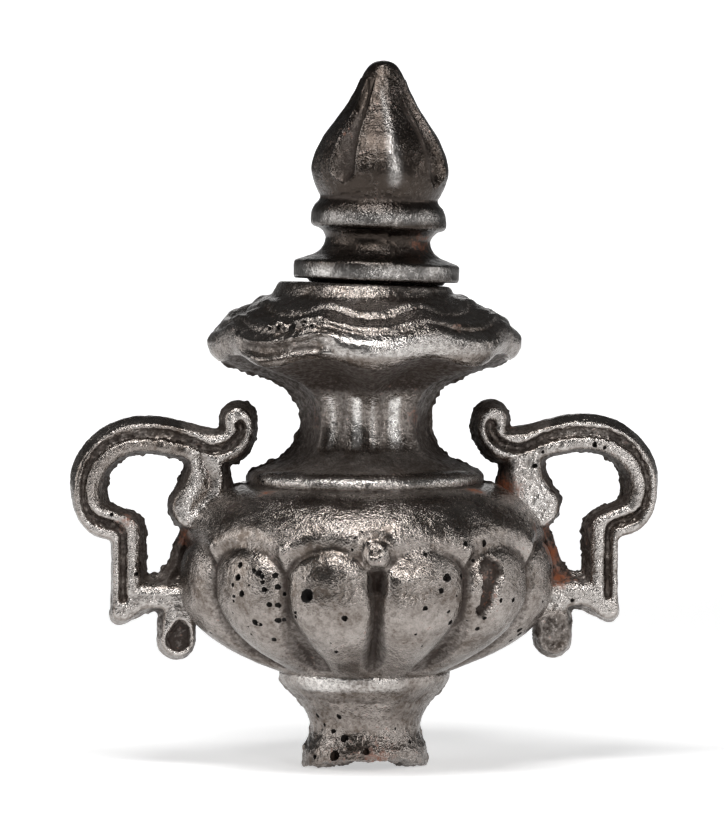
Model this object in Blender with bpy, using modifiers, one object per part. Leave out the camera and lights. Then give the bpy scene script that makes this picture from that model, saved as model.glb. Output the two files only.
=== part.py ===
"""Cast iron urn finial: a hollow, two-handled urn and the bud that stands on its collar.

Metres, +Z up. The front faces -Y and both handles lie in the XZ plane, which is the mould's
parting plane. The origin is on the urn's axis, on the surface that the broken stem stands on.
Angles round the axis are counted from the front, towards +X.
"""

import math

import bmesh
import bpy
from mathutils import Euler, Vector

# Stem, broken off below, and the ring above it
FOOT_RADIUS = 0.0267
FOOT_HEIGHT = 0.0060
WAIST_RADIUS = 0.0237
WAIST_RISE = 0.0115
STEM_RISE = 0.0161
BASE_RING_RADIUS = 0.0360
BASE_RING_THICKNESS = 0.0062
BASE_RING_STEP = 0.0028
STEM_FLARE_POWER = 1.8
BREAK_DEPTH = 0.0052
BREAK_SLANT_SHARE = 0.18
BREAK_HALF_ANGLE = math.radians(48)
BREAK_STEEPNESS = 1.6
BREAK_EDGE_SHARE = 0.35

# Belly with its gadroons
BELLY_RADIUS = 0.0822
BOWL_RISE = 0.0417
BOWL_POWER = 2.4
SHOULDER_RISE = 0.0410
GADROONS = 12
GADROON_DEPTH = 0.0068
GADROON_TOP_RISE = 0.0200
GADROON_FADE = 0.0140
GADROON_POWER = 0.8
GADROON_FOOT_SHARE = 0.45

# Shoulder ring and fluted neck
SHOULDER_RING_RADIUS = 0.0510
SHOULDER_RING_THICKNESS = 0.0058
SHOULDER_RING_SLOPE = 0.0032
SHOULDER_RING_BULGE_SHARE = 0.45
NECK_RADIUS = 0.0280
NECK_FLARE_POWER = 2.15
NECK_LOWER_RISE = 0.0232
NECK_UPPER_RISE = 0.0200
FLUTES = 8
FLUTE_DEPTH = 0.0026

# Scalloped rim, its stepped top and the collar
RIM_RADIUS = 0.0680
RIM_EDGE_HEIGHT = 0.0110
RIM_EDGE_ROUND = 0.0018
RIM_EDGE_SHARES = (0.30, 0.62)
RIM_UNDERCUT = 0.0035
SOFFIT_SPREAD = 0.0220
SOFFIT_RISE = 0.0062
RIM_TOP_RISE = 0.0146
RIM_WAVE = 0.0020
RIM_NOTCH = 0.0028
STEP_RISER = 0.0018
STEP_PLACES = ((0.40, 0.50), (0.78, 0.88))
COLLAR_RADIUS = 0.0395
COLLAR_RISE = 0.0054
COLLAR_TAPER = 0.0020
COLLAR_EDGE = 0.0013

# Walls of the hollow casting
WALL = 0.0075
BORE_RADIUS = 0.0155
BORE_FOOT_SHARE = 0.85
CAVITY_RIM_INSET = 0.0165
CAVITY_RIM_RISE = 0.0034
CAVITY_FLOOR_RISE = 0.0038

# Handles: the reach past the belly, the height, and the strap's section
HANDLE_REACH = 0.0450
HANDLE_HEIGHT = 0.1125
HANDLE_BASE_DROP = 0.0350
STRAP_HALF_WIDTH = 0.0082
STRAP_FACE_HALF_WIDTH = 0.0056
STRAP_HALF_DEPTH = 0.0105
CHANNEL_HALF_WIDTH = 0.0040
CHANNEL_DEPTH = 0.0026
SCROLL_RADIUS = 0.0086
LEAF_RADIUS = 0.0114
EYE_HALF_DEPTH = 0.0100
EYE_ROUND_SHARE = 0.28
STRAP_STEP = 0.0078

# Bud: disc, cove, ring and four-sided bud
SEAT_RADIUS = 0.0290
SEAT_HEIGHT = 0.0013
DISC_RADIUS = 0.0357
DISC_THICKNESS = 0.0077
COVE_RADIUS = 0.0226
COVE_RISE = 0.0158
COVE_FLARE_POWER = 2.6
COVE_LIP = 0.0030
COVE_WAIST_SHARE = 0.38
DISC_SHELF = 0.0018
DISC_ARRIS = 0.0008
BUD_RING_RADIUS = 0.0292
BUD_RING_RISE = 0.0115
BUD_RING_ROUND = 0.0012
BUD_RING_SHARES = (0.58, 0.08)
BUD_RADIUS = 0.0297
BUD_GROOVE_RADIUS = 0.0252
BUD_SWELL_RISE = 0.0125
BUD_SWELL_SHARE = 0.55
BUD_TAPER_RISE = 0.0424
BUD_TIP_RADIUS = 0.0085
BUD_TIP_RISE = 0.0051
BUD_HOLLOWS = 4
BUD_HOLLOW_DEPTH = 0.0042
BUD_HOLLOW_HALF_ANGLE = math.radians(14)
BUD_HOLLOW_BLEND = 1.3
BUD_HOLLOW_FOOT_SHARE = 0.62
BUD_HOLLOW_EASE_SHARE = 0.10
BUD_HOLLOW_FADE_POWER = 0.6
BUD_TURN_ANGLE = math.radians(8)

# How the bud sits: off the urn's axis and leaning with the collar's uneven top
BUD_OFFSET = 0.0050
BUD_LEAN_RIGHT_ANGLE = math.radians(2.1)
BUD_LEAN_BACK_ANGLE = math.radians(2.4)
SEAT_GAP = 0.0003

TURNED_STEPS = 72
CAVITY_STEPS = 20
BUD_STEPS = 32
EYE_STEPS = 14
MERGE = 0.0001
SHARP_ANGLE = math.radians(38)

# Heights that follow from the sizes above, from the ground up
WAIST_Z = FOOT_HEIGHT + WAIST_RISE
BASE_RING_Z = WAIST_Z + STEM_RISE
BOWL_Z = BASE_RING_Z + BASE_RING_THICKNESS
WIDEST_Z = BOWL_Z + BOWL_RISE
SHOULDER_Z = WIDEST_Z + SHOULDER_RISE
NECK_FOOT_Z = SHOULDER_Z + SHOULDER_RING_THICKNESS
NECK_Z = NECK_FOOT_Z + NECK_LOWER_RISE
SOFFIT_Z = NECK_Z + NECK_UPPER_RISE
RIM_Z = SOFFIT_Z + SOFFIT_RISE
RIM_TOP_Z = RIM_Z + RIM_EDGE_HEIGHT
COLLAR_Z = RIM_TOP_Z + RIM_TOP_RISE
SEAT_Z = COLLAR_Z + COLLAR_RISE

IRON_COLOR = (0.055, 0.047, 0.042, 1.0)
IRON_ROUGHNESS = 0.42
IRON_METALLIC = 0.85
BUD_COLOR = (0.048, 0.041, 0.038, 1.0)
BUD_ROUGHNESS = 0.40


def clear_scene():
    """Remove every object that is in the scene."""
    for item in list(bpy.data.objects):
        bpy.data.objects.remove(item, do_unlink=True)


def new_collection(name):
    """Return a new collection, linked to the scene."""
    group = bpy.data.collections.new(name)
    bpy.context.scene.collection.children.link(group)
    return group


def iron(name, color, roughness):
    """Return a Principled material of dark, waxed iron."""
    material = bpy.data.materials.new(name)
    material.use_nodes = True
    shader = material.node_tree.nodes["Principled BSDF"]
    shader.inputs["Base Color"].default_value = color
    shader.inputs["Roughness"].default_value = roughness
    shader.inputs["Metallic"].default_value = IRON_METALLIC
    return material


def fractions(steps):
    """Return steps + 1 even fractions from 0 to 1."""
    return [index / steps for index in range(steps + 1)]


def smooth(value):
    """Ease a value from 0 to 1 with flat ends, held at both."""
    value = min(max(value, 0.0), 1.0)
    return value * value * (3 - 2 * value)


def between(start, end, share):
    """Return the point at a share of the way from start to end."""
    return (start[0] + (end[0] - start[0]) * share, start[1] + (end[1] - start[1]) * share)


def flare(start, end, power, steps):
    """Points that leave start straight up or down and bend towards end."""
    return [
        (start[0] + (end[0] - start[0]) * share**power, start[1] + (end[1] - start[1]) * share)
        for share in fractions(steps)
    ]


def quarter(start, end, steps):
    """Points of a quarter ellipse, upright at start and level at end."""
    return [
        (
            start[0] + (end[0] - start[0]) * (1 - math.cos(share * math.pi / 2)),
            start[1] + (end[1] - start[1]) * math.sin(share * math.pi / 2),
        )
        for share in fractions(steps)
    ]


def ogee(start, end, steps):
    """Points of an S curve, upright at both ends."""
    return [
        (start[0] + (end[0] - start[0]) * (1 - math.cos(share * math.pi)) / 2,
         start[1] + (end[1] - start[1]) * share)
        for share in fractions(steps)
    ]


def turned(name, profile, steps):
    """Return a mesh object turned round Z from a profile of (radius, height), top first."""
    mesh = bpy.data.meshes.new(name)
    vertices = [(radius, 0, height) for radius, height in profile]
    mesh.from_pydata(vertices, [(i, i + 1) for i in range(len(vertices) - 1)], [])
    item = bpy.data.objects.new(name, mesh)
    bpy.context.scene.collection.objects.link(item)
    screw = item.modifiers.new("Turn", "SCREW")
    screw.steps = steps
    screw.render_steps = steps
    screw.use_merge_vertices = True
    screw.merge_threshold = MERGE
    return as_mesh(item)


def as_mesh(item):
    """Replace an object with the plain mesh that it evaluates to, welded."""
    graph = bpy.context.evaluated_depsgraph_get()
    mesh = bpy.data.meshes.new_from_object(item.evaluated_get(graph))
    result = bpy.data.objects.new(item.name, mesh)
    result.matrix_world = item.matrix_world
    bpy.context.scene.collection.objects.link(result)
    name = item.name
    bpy.data.objects.remove(item, do_unlink=True)
    result.name = name
    sheet = bmesh.new()
    sheet.from_mesh(mesh)
    bmesh.ops.remove_doubles(sheet, verts=sheet.verts, dist=MERGE)
    bmesh.ops.recalc_face_normals(sheet, faces=sheet.faces)
    sheet.to_mesh(mesh)
    sheet.free()
    return result


def combine(target, tool, operation):
    """Join a tool to a target or cut it out, and leave the result in the target's mesh."""
    step = target.modifiers.new(operation.title(), "BOOLEAN")
    step.operation = operation
    step.solver = "EXACT"
    step.object = tool
    return as_mesh(target)


def place(item, group):
    """Move an object to a collection of its own kind."""
    for holder in list(item.users_collection):
        holder.objects.unlink(item)
    group.objects.link(item)


def seat_height(x, y):
    """Height of the collar's uneven top, which leans as the bud does."""
    return SEAT_Z - math.tan(BUD_LEAN_RIGHT_ANGLE) * x - math.tan(BUD_LEAN_BACK_ANGLE) * y


def rim_steps():
    """Points of the stepped slope, from the collar out to the rim's edge."""
    inner = (COLLAR_RADIUS, COLLAR_Z)
    outer = (RIM_RADIUS - RIM_EDGE_ROUND, RIM_TOP_Z)
    points = []
    for ridge, trough in STEP_PLACES:
        crest = between(inner, outer, ridge)
        hollow = between(inner, outer, trough)
        points.append((crest[0], crest[1] + STEP_RISER / 2))
        points.append((hollow[0], hollow[1] - STEP_RISER / 2))
    return [inner, *points, outer]


def urn_profile():
    """Outline of the urn without its handles, from the collar's middle to the break's."""
    rim_edge = [(RIM_RADIUS, RIM_TOP_Z - RIM_EDGE_HEIGHT * share) for share in RIM_EDGE_SHARES]
    neck = (NECK_RADIUS, NECK_Z)
    soffit = (NECK_RADIUS + SOFFIT_SPREAD, SOFFIT_Z)
    ring_top = (SHOULDER_RING_RADIUS - SHOULDER_RING_SLOPE, NECK_FOOT_Z)
    shoulder = (SHOULDER_RING_RADIUS, SHOULDER_Z)
    widest = (BELLY_RADIUS, WIDEST_Z)
    bowl_foot = (BASE_RING_RADIUS, BOWL_Z)
    ring_foot = (BASE_RING_RADIUS - BASE_RING_STEP, BASE_RING_Z)
    stem_head = (ring_foot[0] - BASE_RING_STEP / 2, BASE_RING_Z)
    waist = (WAIST_RADIUS, WAIST_Z)
    foot = (FOOT_RADIUS, FOOT_HEIGHT)
    return [
        (0, SEAT_Z),
        (COLLAR_RADIUS - COLLAR_TAPER - COLLAR_EDGE, SEAT_Z),
        (COLLAR_RADIUS - COLLAR_TAPER, SEAT_Z - COLLAR_EDGE),
        *rim_steps(),
        *rim_edge,
        (RIM_RADIUS - RIM_UNDERCUT, RIM_Z),
        *reversed(quarter(neck, soffit, 3)[1:]),
        *flare(neck, ring_top, NECK_FLARE_POWER, 4),
        (SHOULDER_RING_RADIUS, NECK_FOOT_Z - SHOULDER_RING_THICKNESS * SHOULDER_RING_BULGE_SHARE),
        *reversed(quarter(widest, shoulder, 5)[1:]),
        *flare(widest, bowl_foot, BOWL_POWER, 5),
        ring_foot,
        *reversed(flare(waist, stem_head, STEM_FLARE_POWER, 2)),
        foot,
        (FOOT_RADIUS, 0),
        (BORE_RADIUS * BORE_FOOT_SHARE, 0),
        (0, 0),
    ]


def cavity_profile():
    """Outline of the hollow inside, open below."""
    belly = (BELLY_RADIUS - GADROON_DEPTH - WALL, WIDEST_Z)
    neck_foot = (BORE_RADIUS, NECK_FOOT_Z)
    throat = (BORE_RADIUS, NECK_Z)
    head = (RIM_RADIUS - RIM_NOTCH - CAVITY_RIM_INSET, RIM_Z + RIM_WAVE + CAVITY_RIM_RISE)
    roof = (COLLAR_RADIUS - WALL, COLLAR_Z - WALL)
    return [
        (0, roof[1]),
        roof,
        head,
        *reversed(quarter(throat, head, 3)[:-1]),
        *reversed(quarter(belly, neck_foot, 4)),
        *flare(belly, (BORE_RADIUS, BOWL_Z + CAVITY_FLOOR_RISE), BOWL_POWER, 4)[1:],
        (BORE_RADIUS, -WALL),
        (0, -WALL),
    ]


def carved(radius, angle, height):
    """Return the carved radius and height of a point of the turned urn."""
    wave = math.cos(FLUTES * angle)
    flute = abs(math.sin(FLUTES * angle / 2))
    lobe = abs(math.sin(GADROONS * angle / 2)) ** GADROON_POWER
    middle = RIM_Z + RIM_EDGE_HEIGHT / 2
    if height > middle:
        rim = smooth((COLLAR_Z - height) / (COLLAR_Z - RIM_TOP_Z))
    else:
        rim = smooth((height - NECK_Z) / (RIM_Z - NECK_Z)) if radius > NECK_RADIUS else 0.0
    new_radius = radius - RIM_NOTCH * rim * (1 - wave) / 2
    new_height = height - RIM_WAVE * rim * wave
    if NECK_FOOT_Z < height < RIM_Z:
        up = smooth((height - NECK_FOOT_Z) / NECK_LOWER_RISE)
        down = smooth((RIM_Z - height) / (RIM_Z - NECK_Z))
        new_radius -= FLUTE_DEPTH * up * down * flute
    top = WIDEST_Z + GADROON_TOP_RISE
    if BOWL_Z < height < top:
        up = smooth((height - BOWL_Z) / (BOWL_RISE * GADROON_FOOT_SHARE))
        down = smooth((top - height) / GADROON_FADE)
        new_radius -= GADROON_DEPTH * up * down * (1 - lobe)
    return new_radius, new_height


def break_height(angle):
    """Height of the stem's broken end: flat at both sides, chipped up at front and back."""
    from_front = abs(math.remainder(angle, math.pi))
    chip = smooth((BREAK_HALF_ANGLE - from_front) / BREAK_HALF_ANGLE * BREAK_STEEPNESS)
    slant = 1 - BREAK_SLANT_SHARE + BREAK_SLANT_SHARE * math.cos(3 * angle)
    return BREAK_DEPTH * chip * slant


def carve_urn(mesh):
    """Move the turned urn's points to the carved, broken and leaning surfaces."""
    for vertex in mesh.vertices:
        x, y, z = vertex.co
        radius = math.hypot(x, y)
        angle = math.atan2(x, -y)
        if z > COLLAR_Z + MERGE:
            vertex.co.z += seat_height(x, y) - SEAT_Z
            continue
        if z < FOOT_HEIGHT + MERGE:
            lift = BREAK_EDGE_SHARE + (1 - BREAK_EDGE_SHARE) * (1 - z / FOOT_HEIGHT)
            vertex.co.z += break_height(angle) * lift * smooth(radius / BORE_RADIUS)
            continue
        new_radius, new_height = carved(radius, angle, z)
        vertex.co = (new_radius * math.sin(angle), -new_radius * math.cos(angle), new_height)


def strap_section():
    """Return the strap's section as a closed curve: X across its face, Y through it."""
    half = [
        (STRAP_HALF_WIDTH, 0),
        (STRAP_FACE_HALF_WIDTH, STRAP_HALF_DEPTH),
        (CHANNEL_HALF_WIDTH, STRAP_HALF_DEPTH),
    ]
    top = half + [(0, STRAP_HALF_DEPTH - CHANNEL_DEPTH)] + [(-x, y) for x, y in reversed(half)]
    ring = top + [(x, -y) for x, y in reversed(top[1:-1])]
    curve = bpy.data.curves.new("strap_section", "CURVE")
    curve.dimensions = "2D"
    spline = curve.splines.new("POLY")
    spline.points.add(len(ring) - 1)
    for point, (x, y) in zip(spline.points, ring):
        point.co = (x, y, 0, 1)
    spline.use_cyclic_u = True
    item = bpy.data.objects.new("strap_section", curve)
    bpy.context.scene.collection.objects.link(item)
    return item


# Middle lines of a handle's straps: the share of its reach, outwards from the belly's widest
# line, the share of its height, upwards from its lowest point, and how wide the strap is there
LOOP_LINE = (
    (-0.615, 0.925, 1.00), (-0.600, 0.865, 1.00), (-0.530, 0.825, 1.00), (-0.400, 0.815, 1.00),
    (-0.210, 0.840, 1.00), (0.060, 0.866, 1.00), (0.330, 0.862, 1.00), (0.560, 0.822, 1.00),
    (0.745, 0.742, 1.00), (0.815, 0.655, 1.00), (0.770, 0.575, 1.00), (0.640, 0.532, 1.05),
    (0.480, 0.505, 1.05), (0.425, 0.435, 0.98), (0.430, 0.225, 0.98),
)
LEAF_LINE = (
    (-0.300, 0.800, 1.10), (-0.290, 0.709, 1.20), (-0.251, 0.651, 1.25), (-0.185, 0.590, 1.35),
)
ARM_LINE = (
    (0.535, 0.150, 0.55), (0.447, 0.205, 1.10), (0.264, 0.257, 1.02), (0.083, 0.259, 1.02),
    (-0.260, 0.259, 1.10),
)
SCROLL_LINE = ((-0.080, 0.250, 1.00), (-0.042, 0.170, 1.00), (-0.013, 0.077, 1.00))
UPPER_EYE = (-0.615, 0.925)
LEAF_FOOT = (-0.156, 0.590)
LOWER_EYE = (-0.013, 0.077)


def handle_point(along, up):
    """Return the place in the XZ plane of a point given as shares, on the +X side."""
    x = BELLY_RADIUS + HANDLE_REACH * along
    return Vector((x, 0, WIDEST_Z - HANDLE_BASE_DROP + HANDLE_HEIGHT * up))


def curved(line):
    """Return points of a smooth curve through a line's points, with the widths eased too."""
    points = [(*handle_point(along, up), width) for along, up, width in line]
    ends = [points[0], *points, points[-1]]
    result = []
    for index in range(len(points) - 1):
        window = ends[index:index + 4]
        steps = max(1, round(math.dist(points[index][:3], points[index + 1][:3]) / STRAP_STEP))
        for share in fractions(steps)[:-1]:
            result.append(tuple(spline_value(*values, share) for values in zip(*window)))
    return result + [points[-1]]


def spline_value(before, start, end, after, share):
    """Catmull-Rom value between start and end."""
    slope_in = (end - before) / 2
    slope_out = (after - start) / 2
    square = share * share
    cube = square * share
    return (
        (2 * cube - 3 * square + 1) * start
        + (cube - 2 * square + share) * slope_in
        + (3 * square - 2 * cube) * end
        + (cube - square) * slope_out
    )


def strap(name, line, section):
    """Return a strap swept along a line of the +X handle, as a closed mesh."""
    points = curved(line)
    curve = bpy.data.curves.new(name, "CURVE")
    curve.dimensions = "3D"
    curve.bevel_mode = "OBJECT"
    curve.bevel_object = section
    curve.use_fill_caps = True
    spline = curve.splines.new("POLY")
    spline.points.add(len(points) - 1)
    for point, (x, _, z, width) in zip(spline.points, points):
        point.co = (x, z, 0, 1)
        point.radius = width
    item = bpy.data.objects.new(name, curve)
    item.rotation_euler = (math.radians(90), 0, 0)
    bpy.context.scene.collection.objects.link(item)
    bpy.context.view_layer.update()
    return as_mesh(item)


def scroll_eye(name, centre, radius):
    """Return the round end of a scroll, a drum across the strap."""
    mesh = bpy.data.meshes.new(name)
    drum = bmesh.new()
    bmesh.ops.create_cone(
        drum,
        cap_ends=True,
        segments=EYE_STEPS,
        radius1=radius,
        radius2=radius,
        depth=EYE_HALF_DEPTH * 2,
    )
    rims = [edge for edge in drum.edges if any(len(face.verts) == EYE_STEPS for face in edge.link_faces)]
    bmesh.ops.bevel(drum, geom=rims, offset=radius * EYE_ROUND_SHARE, segments=1, affect="EDGES")
    drum.to_mesh(mesh)
    drum.free()
    item = bpy.data.objects.new(name, mesh)
    item.location = handle_point(*centre)
    item.rotation_euler = (math.radians(90), 0, 0)
    bpy.context.scene.collection.objects.link(item)
    bpy.context.view_layer.update()
    return item


def handle_parts(section):
    """Return the solids of one handle, on the +X side."""
    return [
        strap("handle_loop", LOOP_LINE, section),
        strap("handle_leaf", LEAF_LINE, section),
        strap("handle_arm", ARM_LINE, section),
        strap("handle_scroll", SCROLL_LINE, section),
        scroll_eye("upper_eye", UPPER_EYE, SCROLL_RADIUS),
        scroll_eye("leaf_foot", LEAF_FOOT, LEAF_RADIUS),
        scroll_eye("lower_eye", LOWER_EYE, SCROLL_RADIUS),
    ]


def mirrored(item):
    """Return a copy of an object, turned half round the urn's axis."""
    twin = item.copy()
    twin.data = item.data.copy()
    twin.matrix_world = Euler((0, 0, math.pi)).to_matrix().to_4x4() @ item.matrix_world
    bpy.context.scene.collection.objects.link(twin)
    return twin


def build_urn(parts, cutters):
    """Build the urn: turned and carved body, handles joined on, hollow cut out."""
    urn = turned("urn", urn_profile(), TURNED_STEPS)
    carve_urn(urn.data)
    section = strap_section()
    pieces = handle_parts(section)
    pieces += [mirrored(piece) for piece in pieces]
    for piece in pieces:
        urn = combine(urn, piece, "UNION")
    cavity = turned("urn_cavity", cavity_profile(), CAVITY_STEPS)
    urn = combine(urn, cavity, "DIFFERENCE")
    for guide in [section, cavity, *pieces]:
        guide.hide_render = True
        guide.display_type = "WIRE"
        place(guide, cutters)
    finish(urn, parts, iron("urn_iron", IRON_COLOR, IRON_ROUGHNESS))


def bud_profile():
    """Outline of the bud with its ring, cove and disc, tip first, from its seat up."""
    disc_z = SEAT_HEIGHT
    disc_top = disc_z + DISC_THICKNESS
    ring_z = disc_top + COVE_RISE
    groove_z = ring_z + BUD_RING_RISE
    swell_z = groove_z + BUD_SWELL_RISE
    taper_z = swell_z + BUD_TAPER_RISE
    groove = (BUD_GROOVE_RADIUS, groove_z)
    swell = (BUD_RADIUS, swell_z)
    tip = (BUD_TIP_RADIUS, taper_z)
    cove_top = (COVE_RADIUS + COVE_LIP, ring_z)
    cove = (COVE_RADIUS, ring_z - COVE_RISE * COVE_WAIST_SHARE)
    cove_foot = (DISC_RADIUS - DISC_SHELF, disc_top)
    return [
        *reversed(quarter(tip, (0, taper_z + BUD_TIP_RISE), 3)),
        *reversed(ogee(swell, tip, 6)[:-1]),
        between(swell, groove, BUD_SWELL_SHARE),
        groove,
        (BUD_RING_RADIUS - BUD_RING_ROUND, ring_z + BUD_RING_RISE * BUD_RING_SHARES[0]),
        (BUD_RING_RADIUS, ring_z + BUD_RING_RISE * BUD_RING_SHARES[1]),
        *reversed(flare(cove, cove_top, 2, 2)),
        *flare(cove, cove_foot, COVE_FLARE_POWER, 2)[1:],
        (DISC_RADIUS, disc_top - DISC_ARRIS),
        (DISC_RADIUS, disc_z),
        (SEAT_RADIUS, disc_z),
        (SEAT_RADIUS, 0),
        (0, 0),
    ]


def carve_bud(mesh):
    """Sink four pointed hollows into the bud, between its petals."""
    foot = SEAT_HEIGHT + DISC_THICKNESS + COVE_RISE + BUD_RING_RISE
    low = foot + BUD_SWELL_RISE * BUD_HOLLOW_FOOT_SHARE
    high = foot + BUD_SWELL_RISE + BUD_TAPER_RISE
    for vertex in mesh.vertices:
        x, y, z = vertex.co
        radius = math.hypot(x, y)
        if not low < z < high or radius < MERGE:
            continue
        angle = math.atan2(x, -y)
        off_middle = abs(math.remainder(angle - math.pi / BUD_HOLLOWS, 2 * math.pi / BUD_HOLLOWS))
        share = (z - low) / (high - low)
        depth = smooth(share / BUD_HOLLOW_EASE_SHARE) * (1 - share) ** BUD_HOLLOW_FADE_POWER
        sink = BUD_HOLLOW_DEPTH * depth * smooth(BUD_HOLLOW_BLEND - off_middle / BUD_HOLLOW_HALF_ANGLE)
        scale = (radius - sink) / radius
        vertex.co.x *= scale
        vertex.co.y *= scale


def build_bud(parts):
    """Build the bud and set it on the collar, off the axis and leaning."""
    bud = turned("bud_finial", bud_profile(), BUD_STEPS)
    carve_bud(bud.data)
    lean = Euler((-BUD_LEAN_BACK_ANGLE, BUD_LEAN_RIGHT_ANGLE, 0)).to_matrix()
    turn = Euler((0, 0, BUD_TURN_ANGLE)).to_matrix()
    bud.rotation_euler = (lean @ turn).to_euler()
    bud.location = Vector((BUD_OFFSET, 0, seat_height(BUD_OFFSET, 0) + SEAT_GAP))
    finish(bud, parts, iron("bud_iron", BUD_COLOR, BUD_ROUGHNESS))


def finish(item, parts, material):
    """Give a finished part its material, smooth shading and collection."""
    item.data.materials.clear()
    item.data.materials.append(material)
    item.data.shade_smooth()
    item.data.set_sharp_from_angle(angle=SHARP_ANGLE)
    place(item, parts)


def main():
    """Build both castings."""
    clear_scene()
    parts = new_collection("urn_finial")
    cutters = new_collection("urn_finial_cutters")
    build_urn(parts, cutters)
    build_bud(parts)


main()
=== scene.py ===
"""Cast iron urn finial: a hollow, two-handled urn with a four-sided bud on its collar.

The castings are drawn in millimetres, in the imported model's frame: +Z up, the front facing -Y,
angles counted from the front towards +X. Each mesh is turned into metres when it is made.
"""

from __future__ import annotations

import logging
import math
import sys
from dataclasses import dataclass, field
from enum import Enum
from typing import Callable

import bpy
import numpy as np
from mathutils import Euler, Matrix, Vector


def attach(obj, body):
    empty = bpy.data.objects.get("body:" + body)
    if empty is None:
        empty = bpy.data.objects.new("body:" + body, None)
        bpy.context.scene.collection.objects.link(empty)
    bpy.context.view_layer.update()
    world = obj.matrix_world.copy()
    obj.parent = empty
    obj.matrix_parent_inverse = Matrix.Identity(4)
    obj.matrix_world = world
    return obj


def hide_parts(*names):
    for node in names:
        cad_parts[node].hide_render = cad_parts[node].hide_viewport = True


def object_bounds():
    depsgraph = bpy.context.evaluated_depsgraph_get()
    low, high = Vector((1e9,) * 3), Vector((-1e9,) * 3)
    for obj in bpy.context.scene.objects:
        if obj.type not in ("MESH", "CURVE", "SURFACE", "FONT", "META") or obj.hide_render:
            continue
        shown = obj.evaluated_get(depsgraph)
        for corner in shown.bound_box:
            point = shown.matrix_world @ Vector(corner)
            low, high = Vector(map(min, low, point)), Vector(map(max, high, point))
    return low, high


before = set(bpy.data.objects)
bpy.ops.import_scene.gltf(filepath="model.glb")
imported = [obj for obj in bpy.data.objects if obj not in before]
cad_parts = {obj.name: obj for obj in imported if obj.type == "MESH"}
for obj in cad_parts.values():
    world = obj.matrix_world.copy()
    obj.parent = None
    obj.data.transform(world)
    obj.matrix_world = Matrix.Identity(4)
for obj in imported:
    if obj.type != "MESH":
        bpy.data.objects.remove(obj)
CAD_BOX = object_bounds()
LOG = logging.getLogger("urn_finial")

MM = 0.001
FULL_TURN = 2 * math.pi
RIGHT_SIDE = math.pi / 2
FINE_STEP = 0.15
EDGE_ROOM = 0.02
SHARP_ANGLE = math.radians(52)
NOISE_SEED = 5
FLUTES = 8
SCALLOP_WAVE = 2.0
SCALLOP_NOTCH = 2.8
BUD_LEAN_RIGHT = 2.1
BUD_LEAN_BACK = 2.4
Array = np.ndarray
Color = tuple[float, float, float, float]
Points = tuple[tuple[float, ...], ...]
# Soiling and painted shade per point, with wear and painted highlights below 0.
GrimeAndShading = Callable[[Array, Array], Array]


# Numbers and lines

def ease(value: Array) -> Array:
    """Rise from 0 to 1 with flat ends, held at both."""
    value = np.clip(value, 0.0, 1.0)
    return value * value * (3 - 2 * value)


def bell(distance: Array, width: float) -> Array:
    """Return 1 at no distance, fading smoothly past the width."""
    return np.exp(-((distance / width) ** 2))


def gap(angle: Array, centre: float) -> Array:
    """Return the signed way round from a centre angle to each angle."""
    return np.remainder(angle - centre + math.pi, FULL_TURN) - math.pi


def off_parting(angle: Array) -> Array:
    """Return the angle between each point and the nearer of the mould's two parting lines."""
    return np.minimum(np.abs(gap(angle, RIGHT_SIDE)), np.abs(gap(angle, -RIGHT_SIDE)))


def mix(low: Array | float, high: Array | float, share: Array | float) -> Array:
    """Blend two values by a share."""
    return low + (high - low) * share


def trace(points: Points, step: float, soften: float = 0.0) -> Array:
    """Space points evenly along a line, with its corners softened.

    Args:
        points: Corners of the line, as (radius, height).
        step: Distance between the points that come back.
        soften: Reach of the softening; 0 keeps the corners.

    Returns:
        An array of (radius, height) rows that starts and ends with the line.
    """
    line = np.array(points, dtype=float)
    way = np.concatenate([[0.0], np.cumsum(np.hypot(*np.diff(line, axis=0).T))])
    fine = np.linspace(0.0, way[-1], max(3, int(way[-1] / FINE_STEP)))
    dense = np.stack([np.interp(fine, way, line[:, axis]) for axis in (0, 1)], axis=1)
    if soften:
        reach = int(soften * 3 / FINE_STEP)
        kernel = bell(np.arange(-reach, reach + 1) * FINE_STEP, soften)
        kernel /= kernel.sum()
        for axis in (0, 1):
            padded = np.pad(dense[:, axis], reach, mode="reflect", reflect_type="odd")
            dense[:, axis] = np.convolve(padded, kernel, mode="valid")
    way = np.concatenate([[0.0], np.cumsum(np.hypot(*np.diff(dense, axis=0).T))])
    even = np.linspace(0.0, way[-1], max(2, round(way[-1] / step) + 1))
    return np.stack([np.interp(even, way, dense[:, axis]) for axis in (0, 1)], axis=1)


def softened(values: Array, rounds: int) -> Array:
    """Blur a field that runs round the axis, a little each round.

    Args:
        values: The field, as (row, column).
        rounds: How often it is blurred.

    Returns:
        The blurred field.
    """
    for _ in range(rounds):
        values = values * 0.5 + (np.roll(values, 1, axis=1) + np.roll(values, -1, axis=1)) * 0.25
        inner = values[1:-1] * 0.5 + (values[:-2] + values[2:]) * 0.25
        values = np.concatenate([values[:1], inner, values[-1:]])
    return values


def around(angle: Array, radius: Array, height: Array) -> Array:
    """Return the points at angles, radii and heights."""
    return np.stack([radius * np.sin(angle), -radius * np.cos(angle), height], axis=-1)


def round_axis(points: Array) -> tuple[Array, Array, Array]:
    """Return the angle, radius and height of each point."""
    return np.arctan2(points[:, 0], -points[:, 1]), np.hypot(points[:, 0], points[:, 1]), points[:, 2]


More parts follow.
